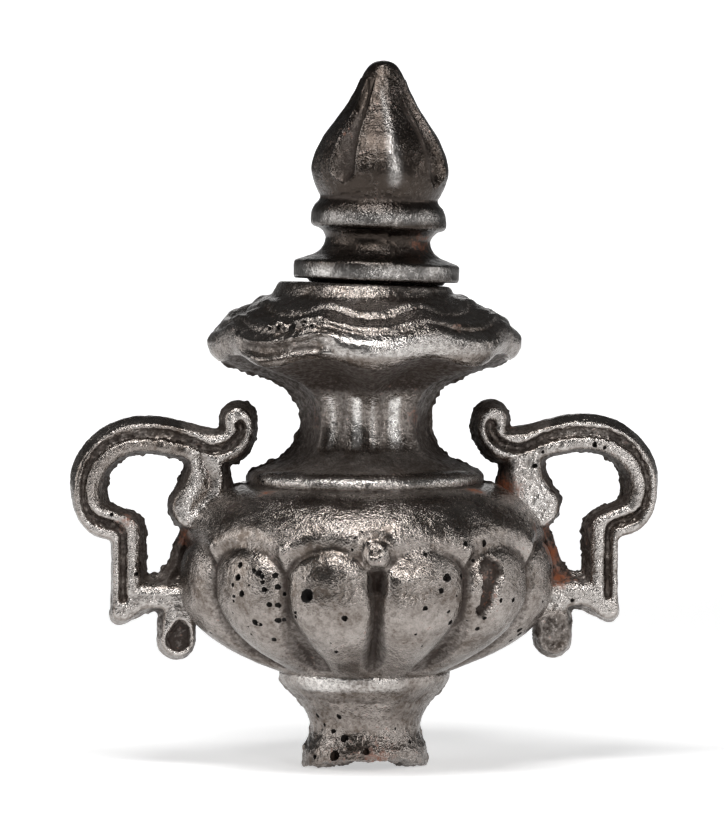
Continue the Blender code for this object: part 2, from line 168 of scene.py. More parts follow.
def turned_grid(profile: Array, columns: int) -> tuple[Array, ...]:
    """Spread a profile round the axis.

    Args:
        profile: Rows of (radius, height).
        columns: Points in each row.

    Returns:
        Angle, radius, height and the profile's outward normal, each as (row, column).
    """
    slope = np.gradient(profile, axis=0)
    slope /= np.maximum(np.hypot(slope[:, 0], slope[:, 1]), 1e-9)[:, None]
    angle = np.linspace(-math.pi, math.pi, columns, endpoint=False)
    shape = (len(profile), columns)
    levels = (profile[:, 0], profile[:, 1], -slope[:, 1], slope[:, 0])
    return (np.broadcast_to(angle, shape), *(np.broadcast_to(level[:, None], shape) for level in levels))


@dataclass
class CastNoise:
    """Seeded, smooth unevenness of a sand-cast surface."""

    seed: int
    cells: int = 32
    table: Array = field(init=False)

    def __post_init__(self) -> None:
        """Fill the table of random levels."""
        self.table = np.random.default_rng(self.seed).uniform(-1, 1, (self.cells,) * 3)

    def at(self, spots: Array, size: float) -> Array:
        """Return the level, about -1 to 1, of each spot.

        Args:
            spots: Points in millimetres, with their coordinates last.
            size: Width of one lump in millimetres.

        Returns:
            One level per point.
        """
        cell = spots / size
        base = np.floor(cell).astype(int)
        part = cell - base
        part = part * part * (3 - 2 * part)
        total = np.zeros(spots.shape[:-1])
        for corner in np.ndindex(2, 2, 2):
            weight = np.ones(spots.shape[:-1])
            for axis in range(3):
                share = part[..., axis]
                weight = weight * (share if corner[axis] else 1 - share)
            place = (base + corner) % self.cells
            total += weight * self.table[place[..., 0], place[..., 1], place[..., 2]]
        return total

    def rough(self, spots: Array, size: float) -> Array:
        """Return three octaves of unevenness.

        Args:
            spots: Points in millimetres, with their coordinates last.
            size: Width of the largest lump.

        Returns:
            One level per point.
        """
        coarse = self.at(spots, size)
        middle = self.at(spots + 13.1, size / 2.1)
        fine = self.at(spots + 47.3, size / 4.3)
        return coarse * 0.55 + middle * 0.3 + fine * 0.2


# Meshes

class Ends(Enum):
    """How a turned wall closes."""

    POLES = "poles"
    LOOP = "loop"


def new_object(name: str, mesh: bpy.types.Mesh) -> bpy.types.Object:
    """Return a new object in the scene.

    Args:
        name: Name of the object.
        mesh: Its mesh.

    Returns:
        The object.
    """
    item = bpy.data.objects.new(name, mesh)
    bpy.context.scene.collection.objects.link(item)
    return item


def turned_object(name: str, rows: Array, ends: Ends) -> bpy.types.Object:
    """Make a closed mesh of rows of points that run round the axis.

    Args:
        name: Name of the object.
        rows: Points in millimetres, as (row, column, 3), outer wall first and top first.
        ends: Whether the first and last rows shrink to a point or meet.

    Returns:
        The new object, at the origin.
    """
    count, columns, _ = rows.shape
    here = np.arange(columns)
    after = np.roll(here, -1)
    faces: list[tuple[int, ...]] = []
    if ends is Ends.POLES:
        poles = [rows[0].mean(axis=0), rows[-1].mean(axis=0)]
        points = np.concatenate([rows[1:-1].reshape(-1, 3), poles])
        inner = count - 2
        top = inner * columns
        last = (inner - 1) * columns
        faces += [(top, int(a), int(b)) for a, b in zip(here, after)]
        faces += [(top + 1, int(last + b), int(last + a)) for a, b in zip(here, after)]
        pairs = [(row, row + 1) for row in range(inner - 1)]
    else:
        points = rows.reshape(-1, 3)
        pairs = [(row, (row + 1) % count) for row in range(count)]
    for upper, lower in pairs:
        up, down = upper * columns, lower * columns
        quads = np.stack([up + here, down + here, down + after, up + after], axis=1)
        faces += list(map(tuple, quads.tolist()))
    mesh = bpy.data.meshes.new(name)
    mesh.from_pydata((points * MM).tolist(), [], faces)
    mesh.update()
    return new_object(name, mesh)


def points_of(mesh: bpy.types.Mesh) -> Array:
    """Return a mesh's points in millimetres.

    Args:
        mesh: The mesh.

    Returns:
        One row for each point.
    """
    flat = np.empty(len(mesh.vertices) * 3)
    mesh.vertices.foreach_get("co", flat)
    return flat.reshape(-1, 3) / MM


def set_points(mesh: bpy.types.Mesh, points: Array) -> None:
    """Move a mesh's points, given in millimetres."""
    mesh.vertices.foreach_set("co", (points * MM).ravel())
    mesh.update()


def normals_of(mesh: bpy.types.Mesh) -> Array:
    """Return a mesh's point normals.

    Args:
        mesh: The mesh.

    Returns:
        One row for each point.
    """
    flat = np.empty(len(mesh.vertices) * 3)
    mesh.vertex_normals.foreach_get("vector", flat)
    return flat.reshape(-1, 3)


def baked(item: bpy.types.Object) -> bpy.types.Object:
    """Turn an object with modifiers into a plain mesh in place.

    Args:
        item: The object.

    Returns:
        The same object.
    """
    graph = bpy.context.evaluated_depsgraph_get()
    mesh = bpy.data.meshes.new_from_object(item.evaluated_get(graph))
    old = item.data
    item.modifiers.clear()
    item.data = mesh
    bpy.data.meshes.remove(old)
    mesh.name = item.name
    return item


def write_values(mesh: bpy.types.Mesh, name: str, values: Array) -> None:
    """Store one number per point under a name."""
    layer = mesh.attributes.get(name) or mesh.attributes.new(name, "FLOAT", "POINT")
    layer.data.foreach_set("value", values.astype(np.float32))


@dataclass(frozen=True)
class RustSpot:
    """A place where rust shows, in millimetres, with its reach and strength."""

    place: tuple[float, float, float]
    reach: float
    strength: float


@dataclass
class WeatheringAndShading:
    """Reads a mesh's own shape for where soiling gathers and shade is painted in its recesses, and where
    brushing wears it bright; also stores each part's painted shade and highlights.
    """

    spots: tuple[RustSpot, ...]
    fine_rounds: int = 5
    broad_rounds: int = 50
    crevice_mm: float = 0.22
    ridge_mm: float = 0.20
    hollow_mm: float = 1.6

    def apply(self, item: bpy.types.Object, grime_and_shading: GrimeAndShading) -> None:
        """Store an object's crevices, ridges, hollows and rust on its points, with its soiling and painted
        shade and its worn places and painted highlights.

        Args:
            item: The object.
            grime_and_shading: How soiled and shaded each point is, the shade painted; below 0, how far it
                is worn bright and given painted highlights.
        """
        mesh = item.data
        points = points_of(mesh)
        normals = normals_of(mesh)
        edges = np.empty(len(mesh.edges) * 2, dtype=np.int64)
        mesh.edges.foreach_get("vertices", edges)
        edges = edges.reshape(-1, 2)
        near = self.smoothed(points, edges, self.fine_rounds)
        far = self.smoothed(near, edges, self.broad_rounds)
        small = np.einsum("ij,ij->i", near - points, normals)
        large = np.einsum("ij,ij->i", far - points, normals)
        # Crevices and hollows later darken the iron: soiling and painted shade in recesses; ridges wear
        # bright.
        write_values(mesh, "crevice", ease(small / self.crevice_mm))
        write_values(mesh, "ridge", ease(-small / self.ridge_mm))
        write_values(mesh, "hollow", ease(large / self.hollow_mm))
        rust = np.zeros(len(points))
        for spot in self.spots:
            away = np.linalg.norm(points - np.array(spot.place), axis=1)
            rust = np.maximum(rust, spot.strength * bell(away, spot.reach))
        write_values(mesh, "rust", rust)
        # Each part's level: soiling and painted shade above 0, wear and painted highlights below.
        level = grime_and_shading(points, normals)
        write_values(mesh, "grime_and_shading", np.clip(level, 0, 1))
        write_values(mesh, "wear_and_highlight", np.clip(-level, 0, 1))

    @staticmethod
    def smoothed(points: Array, edges: Array, rounds: int) -> Array:
        """Return points that have moved to the middle of their neighbours a number of times.

        Args:
            points: The points.
            edges: Pairs of neighbours.
            rounds: How often the points move.

        Returns:
            The moved points.
        """
        count = len(points)
        ties = np.bincount(edges.ravel(), minlength=count).astype(float)
        ties[ties == 0] = 1
        result = points.copy()
        for _ in range(rounds):
            total = np.empty_like(result)
            for axis in range(3):
                values = result[:, axis]
                total[:, axis] = np.bincount(edges[:, 0], weights=values[edges[:, 1]], minlength=count)
                total[:, axis] += np.bincount(edges[:, 1], weights=values[edges[:, 0]], minlength=count)
            result = result * 0.4 + total / ties[:, None] * 0.6
        return result


# Nodes

class Socket:
    """A node's output that can be used in Python sums."""

    def __init__(self, book: NodeBook, socket: bpy.types.NodeSocket) -> None:
        """Wrap a socket of one tree."""
        self.book = book
        self.socket = socket

    def _math(self, operation: str, first: Socket | float, second: Socket | float) -> Socket:
        """Add a Math node on two values."""
        return self.book.add("ShaderNodeMath", {"operation": operation}, {0: first, 1: second})

    def __add__(self, other: Socket | float) -> Socket:
        """Add a value."""
        return self._math("ADD", self, other)

    def __radd__(self, other: float) -> Socket:
        """Add to a number."""
        return self._math("ADD", other, self)

    def __sub__(self, other: Socket | float) -> Socket:
        """Take a value off."""
        return self._math("SUBTRACT", self, other)

    def __rsub__(self, other: float) -> Socket:
        """Take off a number."""
        return self._math("SUBTRACT", other, self)

    def __mul__(self, other: Socket | float) -> Socket:
        """Multiply by a value."""
        return self._math("MULTIPLY", self, other)

    def __rmul__(self, other: float) -> Socket:
        """Multiply a number."""
        return self._math("MULTIPLY", other, self)

    def held(self) -> Socket:
        """Hold the value between 0 and 1."""
        settings = {"operation": "ADD", "use_clamp": True}
        return self.book.add("ShaderNodeMath", settings, {0: self, 1: 0.0})

    def stepped(self, low: float, high: float) -> Socket:
        """Rise smoothly from 0 to 1 between two values."""
        settings = {"interpolation_type": "SMOOTHSTEP"}
        return self.book.add("ShaderNodeMapRange", settings, {0: self, 1: low, 2: high})


class NodeBook:
    """Adds nodes to one tree."""

    def __init__(self, tree: bpy.types.NodeTree) -> None:
        """Take the tree and clear it."""
        self.tree = tree
        tree.nodes.clear()

    def add(
        self,
        kind: str,
        settings: dict[str, object] | None = None,
        values: dict[int | str, object] | None = None,
        output: int | str = 0,
    ) -> Socket:
        """Add a node, with its settings first and then its sockets.

        Args:
            kind: Blender's name of the node type.
            settings: The node's own settings.
            values: Numbers, colours or sockets for its inputs.
            output: Which output comes back.

        Returns:
            The wrapped output, or the node's first one.
        """
        node = self.tree.nodes.new(kind)
        for name, value in (settings or {}).items():
            setattr(node, name, value)
        for name, value in (values or {}).items():
            if isinstance(value, Socket):
                self.tree.links.new(value.socket, node.inputs[name])
            else:
                node.inputs[name].default_value = value
        return Socket(self, node.outputs[output] if node.outputs else None)

    def noise(self, place: Socket, size_mm: float, detail: float = 2.0, rough: float = 0.5) -> Socket:
        """Return noise whose lumps are about a size across."""
        values = {"Vector": place, "Scale": 1 / (size_mm * MM), "Detail": detail, "Roughness": rough}
        return self.add("ShaderNodeTexNoise", {"noise_dimensions": "3D"}, values, "Fac")

    def mix(self, share: Socket | float, first: object, second: object) -> Socket:
        """Mix two colours."""
        values = {0: share, 6: first, 7: second}
        return self.add("ShaderNodeMix", {"data_type": "RGBA"}, values, 2)

    def value(self, name: str) -> Socket:
        """Read a number that is stored on the piece's points."""
        return self.add("ShaderNodeAttribute", {"attribute_name": name}, output="Fac")

    def surface(
        self, values: dict[str, object], height: Socket | None = None,
        bump_mm: float = 0.0, strength: float = 1.0,
    ) -> None:
        """End a material's tree.

        Args:
            values: Numbers, colours or sockets for the surface.
            height: What raises the surface; none leaves it smooth.
            bump_mm: How far it is raised.
            strength: How much of that shows.
        """
        if height is not None:
            bump = {"Strength": strength, "Distance": bump_mm * MM, "Height": height}
            values = {**values, "Normal": self.add("ShaderNodeBump", None, bump, "Normal")}
        shader = self.add("ShaderNodeBsdfPrincipled", None, values, "BSDF")
        self.add("ShaderNodeOutputMaterial", None, {"Surface": shader})


def new_material(name: str) -> tuple[bpy.types.Material, NodeBook]:
    """Return a new material and the book of its nodes.

    Args:
        name: Name of the material.

    Returns:
        The material and its book.
    """
    material = bpy.data.materials.new(name)
    material.use_nodes = True
    return material, NodeBook(material.node_tree)


@dataclass(frozen=True)
class IronFinish:
    """Brushed and waxed cast iron: bare metal on what stands out, brown-black in what doesn't, partly
    soiling and partly painted shade, and near-white where worn bright and where highlights are painted.
    """

    name: str
    bright: Color = (0.36, 0.328, 0.304, 1.0)
    waxed: Color = (0.112, 0.090, 0.075, 1.0)
    # Near-white for places worn bright and for painted highlights.
    bright_wear_and_highlight: Color = (0.80, 0.775, 0.75, 1.0)
    # Brown-black for soiling and for painted shade in crevices, hollows and under overhangs.
    dirt_and_shade_color: Color = (0.026, 0.016, 0.011, 1.0)
    rust: Color = (0.200, 0.058, 0.020, 1.0)
    fine_mm: float = 0.85
    grain_mm: float = 2.1
    cloud_mm: float = 17.0
    brushing: float = 0.46
    metal: float = 1.0
    matt: float = 0.30
    polish: float = 0.17
    bump_mm: float = 0.70

    def material(self) -> bpy.types.Material:
        """Build the finish's material.

        Returns:
            The material.
        """
        material, book = new_material(self.name)
        place = book.add("ShaderNodeTexCoord", output="Object")
        fine = book.noise(place, self.fine_mm, 2.0, 0.5)
        grain = book.noise(place, self.grain_mm, 3.0, 0.6)
        cloud = book.noise(place, self.cloud_mm, 3.0, 0.6)
        hollow = book.value("hollow")
        lumpy = (grain - 0.5) * 1.5 + (fine - 0.5) * 0.8
        # Hollows also pull the colour toward the dark wax, a little painted shade.
        worn = lumpy + (cloud - 0.5) * 2.2 + self.brushing + book.value("ridge") * 0.25 - hollow * 0.35
        worn = worn.held()
        # Painted shade with soiling: each part's stored level, crevices and hollows darken the colour and
        # dull the metal.
        filth_and_shade = book.value("grime_and_shading") * 1.25 + book.value("crevice") * 0.40 + hollow * 0.30
        filth_and_shade = (filth_and_shade + (cloud - 0.5) * 0.7 - lumpy * 0.8 - 0.42).held()
        orange = (book.value("rust") * 1.35 + lumpy * 1.9 + (cloud - 0.5) * 1.0 - 0.48).held()
        # Worn bright metal and painted highlights, as each part marks them below 0.
        wear_and_highlight = (book.value("wear_and_highlight") * (lumpy * 1.6 + 0.85)).held()
        color = book.mix(worn, self.waxed, self.bright)
        color = book.mix(wear_and_highlight, color, self.bright_wear_and_highlight)
        color = book.mix(filth_and_shade, color, self.dirt_and_shade_color)
        color = book.mix(orange, color, self.rust)
        metallic = (self.metal - filth_and_shade * 0.75 - orange * 0.9).held()
        rough = (self.matt - worn * (self.matt - self.polish) + filth_and_shade * 0.38 + orange * 0.4).held()
        patch = cloud.stepped(0.36, 0.62) * 0.65 + 0.35
        values = {"Base Color": color, "Metallic": metallic, "Roughness": rough}
        book.surface(values, (fine * 0.72 + grain * 0.5) * patch, self.bump_mm)
        return material


@dataclass(frozen=True)
class PitFinish:
    """The inside of a blow hole: dull, dark scale, made near black as painted shade deep in the hole."""

    name: str = "pit_scale_and_shade"
    dark: Color = (0.006, 0.004, 0.003, 1.0)
    brown: Color = (0.060, 0.032, 0.018, 1.0)
    bump_mm: float = 0.20

    def material(self) -> bpy.types.Material:
        """Build the finish's material.

        Returns:
            The material.
        """
        material, book = new_material(self.name)
        place = book.add("ShaderNodeTexCoord", output="Object")
        grain = book.noise(place, 0.8, 3.0, 0.65)
        share = (grain * 1.4 + book.value("rust") - 0.75).held()
        color = book.mix(share, self.dark, self.brown)
        book.surface({"Base Color": color, "Metallic": 0.1, "Roughness": 0.85}, grain, self.bump_mm, 0.8)
        return material


@dataclass
class Finishes:
    """The object's materials, made once."""

    urn: bpy.types.Material = field(init=False)
    bud: bpy.types.Material = field(init=False)
    pit: bpy.types.Material = field(init=False)

    def __post_init__(self) -> None:
        """Build each material."""
        self.urn = IronFinish("urn_iron_brushed").material()
        bright, waxed = (0.14, 0.123, 0.112, 1.0), (0.055, 0.044, 0.037, 1.0)
        self.bud = IronFinish("bud_iron_brushed", bright, waxed, brushing=0.16).material()
        self.pit = PitFinish().material()


# Blow holes

@dataclass(frozen=True)
class Hole:
    """A blow hole: where it lies, which way it faces and how wide it is, in millimetres."""

    place: tuple[float, float, float]
    facing: tuple[float, float, float]
    radius: float
    depth: float = 1.3


@dataclass
class BlowHoles:
    """Cuts blow holes with rough blobs that Geometry Nodes sets out."""

    pit: bpy.types.Material
    seed: int = 7
    ruggedness: float = 0.32
    lump_scale: float = 620.0

    def tree(self) -> bpy.types.NodeTree:
        """Build the tree that puts a rough blob on each point.

        Returns:
            The node tree.
        """
        tree = bpy.data.node_groups.new("blow_holes", "GeometryNodeTree")
        book = NodeBook(tree)
        face = tree.interface
        face.new_socket("Geometry", in_out="INPUT", socket_type="NodeSocketGeometry")
        for name, kind in (("Ruggedness", "NodeSocketFloat"), ("Seed", "NodeSocketInt")):
            face.new_socket(name, in_out="INPUT", socket_type=kind)
        face.new_socket("Geometry", in_out="OUTPUT", socket_type="NodeSocketGeometry")
        start = tree.nodes.new("NodeGroupInput")
        geometry, ruggedness, seed = (Socket(book, start.outputs[i]) for i in range(3))
        blob = book.add("GeometryNodeMeshIcoSphere", None, {"Radius": 1.0, "Subdivisions": 4})
        size, facing = (
            book.add("GeometryNodeInputNamedAttribute", {"data_type": "FLOAT_VECTOR"}, {"Name": name})
            for name in ("size", "facing")
        )
        aimed = book.add("FunctionNodeAlignRotationToVector", {"axis": "Z"}, {"Vector": facing})
        spin = book.add(
            "FunctionNodeRandomValue", {"data_type": "FLOAT"}, {2: 0.0, 3: FULL_TURN, "Seed": seed}, 1
        )
        about = book.add("ShaderNodeCombineXYZ", None, {"Z": spin})
        turn = book.add("FunctionNodeEulerToRotation", None, {0: about})
        turned = book.add("FunctionNodeRotateRotation", {"rotation_space": "LOCAL"}, {0: aimed, 1: turn})
        values = {"Points": geometry, "Instance": blob, "Rotation": turned, "Scale": size}
        blobs = book.add("GeometryNodeInstanceOnPoints", None, values)
        solid = book.add("GeometryNodeRealizeInstances", None, {0: blobs})
        place = book.add("GeometryNodeInputPosition")
        values = {"Vector": place, "Scale": self.lump_scale, "Detail": 1.0}
        lumps = book.add("ShaderNodeTexNoise", {"noise_dimensions": "3D"}, values, "Fac")
        push = (lumps - 0.5) * ruggedness * (4 * MM)
        way = book.add("GeometryNodeInputNormal")
        move = book.add("ShaderNodeVectorMath", {"operation": "SCALE"}, {0: way, "Scale": push})
        moved = book.add("GeometryNodeSetPosition", None, {"Geometry": solid, "Offset": move})
        painted = book.add("GeometryNodeSetMaterial", None, {"Geometry": moved, "Material": self.pit})
        end = tree.nodes.new("NodeGroupOutput")
        tree.links.new(painted.socket, end.inputs[0])
        return tree

    def cut(self, item: bpy.types.Object, holes: list[Hole]) -> None:
        """Cut holes out of a closed object.

        Args:
            item: The object.
            holes: The holes.
        """
        mesh = bpy.data.meshes.new(f"{item.name}_holes")
        mesh.from_pydata([tuple(c * MM for c in hole.place) for hole in holes], [], [])
        size = mesh.attributes.new("size", "FLOAT_VECTOR", "POINT")
        facing = mesh.attributes.new("facing", "FLOAT_VECTOR", "POINT")
        for index, hole in enumerate(holes):
            wide = hole.radius * MM
            size.data[index].vector = (wide, wide * 0.9, wide * hole.depth)
            facing.data[index].vector = hole.facing
        cutter = new_object(mesh.name, mesh)
        step = cutter.modifiers.new("Holes", "NODES")
        step.node_group = self.tree()
        names = {entry.name: entry.identifier for entry in step.node_group.interface.items_tree}
        step[names["Ruggedness"]] = self.ruggedness
        step[names["Seed"]] = self.seed
        baked(cutter)
        if self.pit.name not in {slot.name for slot in item.data.materials if slot}:
            item.data.materials.append(self.pit)
        cut = item.modifiers.new("Holes", "BOOLEAN")
        cut.operation = "DIFFERENCE"
        cut.solver = "MANIFOLD"
        cut.object = cutter
        baked(item)
        bpy.data.objects.remove(cutter, do_unlink=True)


def on_wall(angle: float, radius: float, height: float) -> tuple[float, float, float]:
    """Return the place at an angle in degrees round the axis."""
    turn = math.radians(angle)
    return (radius * math.sin(turn), -radius * math.cos(turn), height)


def wall_holes(rows: Points, depth: float = 1.3, way: tuple[float, float] = (1.0, 0.0)) -> list[Hole]:
    """Return holes that face out of a wall.

    Args:
        rows: Angle in degrees, radius, height and half width of each hole.
        depth: Depth as a share of the half width.
        way: How far out and how far up they face.

    Returns:
        One hole for each row.
    """
    holes = []
    for angle, radius, height, size in rows:
        facing = Vector(on_wall(angle, *way)).normalized()
        holes.append(Hole(on_wall(angle, radius, height), tuple(facing), size, depth))
    return holes


# The urn's turned walls

@dataclass
class Wall:
    """Common work of the turned parts of the urn."""

    noise: CastNoise
    holes: BlowHoles
    finishes: Finishes
    weathering_and_shading: WeatheringAndShading

    def flash(self, angle: Array, radius: Array, spots: Array) -> Array:
        """Return the height of the jagged fin that the mould's parting left on both sides."""
        jag = self.noise.at(spots, 4.2) * 0.7 + self.noise.at(spots + 31, 1.7) * 0.8 + 0.55
        return bell(off_parting(angle) * radius, 1.1) * np.clip(jag, 0, 1.6)

    def skin(self, spots: Array) -> Array:
        """Return the all-over unevenness of the casting."""
        return self.noise.at(spots, 24) * 0.32 + self.noise.rough(spots + 7, 5.5) * 0.22

    def dress(self, item: bpy.types.Object, holes: list[Hole]) -> bpy.types.Object:
        """Give a wall its iron, its blow holes, its wear, soiling, rust and painted light and shade, and
        tie it to the urn.

        Args:
            item: The wall.
            holes: Its blow holes.

        Returns:
            The same object.
        """
        item.data.materials.append(self.finishes.urn)
        self.holes.cut(item, holes)
        settle(item, self.weathering_and_shading, "urn", self.grime_and_shading)
        return item

    def grime_and_shading(self, points: Array, normals: Array) -> Array:
        """Return how soiled and shaded each point is, 0 to 1, the shade painted; below 0, how far it is
        worn bright and given painted highlights.
        """
        raise NotImplementedError


def settle(
    item: bpy.types.Object, weathering_and_shading: WeatheringAndShading, node: str, grime_and_shading: GrimeAndShading
) -> None:
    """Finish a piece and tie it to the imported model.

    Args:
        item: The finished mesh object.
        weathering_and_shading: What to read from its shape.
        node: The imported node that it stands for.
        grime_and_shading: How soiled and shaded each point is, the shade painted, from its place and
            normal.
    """
    points = points_of(item.data)
    low, high = (np.array(corner) / MM for corner in CAD_BOX)
    set_points(item.data, np.clip(points, low + EDGE_ROOM, high - EDGE_ROOM))
    item.data.shade_smooth()
    item.data.set_sharp_from_angle(angle=SHARP_ANGLE)
    weathering_and_shading.apply(item, grime_and_shading)
    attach(item, "root")
    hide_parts(node)
    faces = sum(len(face.vertices) - 2 for face in item.data.polygons)
    LOG.info("%s: %d triangles", item.name, faces)


@dataclass
class Belly(Wall):
    """The gadrooned belly, from the base ring to the shoulder ring."""

    widest: float = 82.2
    widest_z: float = 81.5
    foot: float = 36.0
    foot_z: float = 41.4
    bowl_power: float = 2.4
    shoulder: float = 51.0
    shoulder_rise: float = 41.0
    tuck: Points = ((44.0, 125.4), (47.5, 123.9))
    lobes: int = 12
    groove: float = 6.6
    arch_z: float = 87.5
    arch_rise: float = 12.5
    arch_groove: float = 2.5
    dome_edge: float = 2.2
    dome_power: float = 0.6
    lobe_gap: float = 1.0
    foot_gap: float = 2.9
    front_foot_gap: float = 0.5
    knob_z: float = 97.5
    knob_size: float = 2.6
    front_knob_size: float = 5.6
    knob_power: float = 2.6
    pit_depth: float = 3.2
    columns: int = 600
    row_step: float = 0.95
    last_z: float = 37.7
    stray_seed: int = 11
    stray_count: int = 46
    hole_depth: float = 1.5
    pits: Points = (
        (-44.6, 92.4, 1.5), (-44.9, 87.2, 1.7), (-43.4, 80.4, 1.5), (-46.8, 83.7, 0.9),
        (-46.4, 79.0, 0.9), (-37.8, 89.3, 1.5), (-39.4, 90.4, 1.2), (-36.6, 88.0, 1.2),
        (-32.8, 88.7, 1.3), (-36.2, 85.6, 1.1), (-32.0, 83.6, 1.3), (-35.8, 82.6, 1.3),
        (-30.6, 80.7, 1.1), (-34.5, 76.2, 1.3), (-32.1, 75.8, 1.3), (-40.2, 68.0, 1.6),
        (-38.9, 67.2, 1.1), (-33.0, 68.8, 1.6), (-31.6, 69.0, 1.3), (-48.2, 71.5, 0.6),
        (-43.7, 66.0, 0.5), (-44.2, 62.4, 0.5), (-37.2, 60.0, 1.3), (-30.3, 62.6, 0.5),
        (-61.1, 56.8, 0.8), (-21.5, 80.6, 3.1), (-10.0, 71.2, 1.4),
        (-26.3, 71.3, 1.0), (-26.1, 73.0, 0.9), (-15.5, 59.8, 0.5), (-14.5, 55.6, 1.0),
        (-2.7, 54.3, 0.9), (21.4, 88.0, 2.1), (19.3, 82.5, 1.4), (28.0, 88.2, 1.4),
        (14.3, 75.3, 1.2), (22.6, 73.3, 0.9), (24.4, 68.4, 1.4), (25.0, 80.1, 0.5),
        (12.6, 63.8, 0.6), (16.5, 58.2, 0.5), (33.3, 57.5, 1.6), (36.3, 64.6, 1.1),
        (36.7, 69.5, 1.1), (41.2, 77.0, 1.1), (46.6, 76.7, 1.1), (29.1, 101.7, 1.2),
        (37.5, 101.2, 1.6), (33.3, 94.3, 0.9), (33.0, 97.3, 0.6), (27.6, 108.0, 0.8),
        (16.7, 106.8, 0.6), (15.1, 98.0, 1.2), (-46.9, 76.8, 0.6), (-40.9, 84.0, 0.6),
        (-29.1, 87.2, 0.6), (-4.8, 107.5, 0.6), (-7.1, 105.0, 0.5), (-2.9, 102.9, 0.6),
        (-7.9, 100.0, 0.6), (31.1, 63.6, 0.9), (34.4, 61.1, 0.7), (27.2, 68.7, 0.7),
        (32.2, 68.0, 0.8),
    )
    cavity: Points = (
        (38.0, 92.8, 2.8), (38.3, 90.2, 5.4), (38.2, 87.0, 4.8), (37.8, 83.7, 3.6), (37.0, 79.5, 3.2),
        (36.6, 75.5, 3.0), (35.2, 71.2, 2.0),
    )
    cavity_depth: float = 3.2

    def bowl(self, height: float) -> float:
        """Return the radius at a height, without the lobes.

        Args:
            height: The height.

        Returns:
            The radius.
        """
        if height >= self.widest_z:
            share = min(1.0, (height - self.widest_z) / self.shoulder_rise)
            return self.widest - (self.widest - self.shoulder) * (1 - math.sqrt(1 - share * share))
        share = min(1.0, (self.widest_z - height) / (self.widest_z - self.foot_z))
        return self.widest - (self.widest - self.foot) * share**self.bowl_power

    def profile(self) -> Array:
        """Return the wall's closed section, from inside the shoulder ring round to the hollow.

        Returns:
            Rows of (radius, height).
        """
        turns = [math.pi / 2 * step / 24 for step in range(24, -1, -1)]
        arc = [
            (self.widest - (self.widest - self.shoulder) * (1 - math.cos(turn)),
             self.widest_z + self.shoulder_rise * math.sin(turn))
            for turn in turns
        ]
        heights = np.linspace(self.widest_z, self.foot_z, 30)[1:]
        bowl = [(self.bowl(height), float(height)) for height in heights]
        outer = trace((*self.tuck, *arc, *bowl, (34.5, 39.4)), self.row_step, 0.5)
        inner = trace(
            ((28.0, 36.4), (16.2, 36.2), (15.6, 43.6), (34.0, 49.0), (54.0, 60.0), (65.0, 71.0),
             (67.9, 81.5), (66.0, 96.0), (58.0, 110.0), (44.5, 120.4)),
            5.0,
        )
        return np.concatenate([outer, inner])

    def relief(self, angle: Array, radius: Array, height: Array) -> Array:
        """Return how far the carved surface lies in or out of the plain bowl.

        Args:
            angle: Angle of each point.
            radius: Radius of the plain bowl there.
            height: Height there.

        Returns:
            Distances in millimetres, outwards.
        """
        sector = FULL_TURN / self.lobes
        index = np.floor(angle / sector)
        across = (angle - (index + 0.5) * sector) / (sector / 2)
        seam = np.round(angle / sector)
        lift = np.sin(seam * 2.4) * 0.8
        above = np.clip((height - self.arch_z - lift * np.abs(across) ** 3) / self.arch_rise, 0, None)
        edge = np.sqrt(across**2 + above**2) + 1e-6
        sideways = across**2 / edge**2
        rise = ease((height - self.foot_z + 1.5) / 9)
        spare = np.where(seam == 0, self.front_foot_gap, self.foot_gap) * ease((82 - height) / 34)
        limit = 1 - (self.lobe_gap + spare) / (radius * sector / 2)
        depth = mix(self.arch_groove, self.groove * rise, sideways)
        depth = np.where(above > 0, depth, self.groove * rise)
        dome = np.clip(1 - np.clip(edge / limit, 0, 1) ** self.dome_edge, 0, 1) ** self.dome_power
        inside = -depth * (1 - dome)
        away = (edge - 1) * mix(self.arch_rise, radius * sector / 2, sideways)
        outside = -depth * bell(np.clip(away, 0, None), mix(4.4, 2.6, sideways))
        result = np.where(edge < 1, inside, outside)
        dart = radius * np.abs(angle - seam * sector)
        front = seam == 0
        slit = bell(dart, 1.3) * 0.5 + bell(dart, 2.7) * 1.6 * front
        result = result - slit * ease((height - 44) / 8) * ease((self.arch_z + 4 - height) / 6)
        turn, level = np.degrees(angle) - 9, height - 93.5
        facet = np.clip(1 - (turn / 7.5) ** 2 - (level / 6) ** 2, 0, 1)
        return self.knobs(result - ease(facet) * 1.5, height, seam, dart)

    def knobs(self, level: Array, height: Array, seam: Array, dart: Array) -> Array:
        """Return the carving with the knobs between the arches, the front one large over a pit.

        Args:
            level: The carving without them, outwards.
            height: Height of each point.
            seam: Number of the nearest seam, 0 in front.
            dart: Distance from that seam.

        Returns:
            Distances in millimetres, outwards.
        """
        front = seam == 0
        size = self.knob_size + 0.9 * np.sin(seam * 5.1 + 1)
        size = np.where(front, self.front_knob_size, size)
        tall = np.where(front, self.front_knob_size, size * 1.2)
        up = height - self.knob_z - 1
        away = np.abs(dart / size) ** self.knob_power + np.abs(up / tall) ** self.knob_power
        dome = np.clip(1 - away, 0, 1) ** 0.45
        moat = bell((away ** (1 / self.knob_power) - 1.18) * size, 1.5) * ease((height - self.knob_z) / 3)
        pit = ease((4.6 - dart) / 2.0) * ease((height - 78.5) / 5) * ease((92.6 - height) / 1.2)
        level = level - np.where(front, pit * self.pit_depth + moat * 1.6, 0)
        raised = np.maximum(level, dome * 2.8 - 2.4)
        return np.where(front & (away < 1), raised, level + dome * ~front)

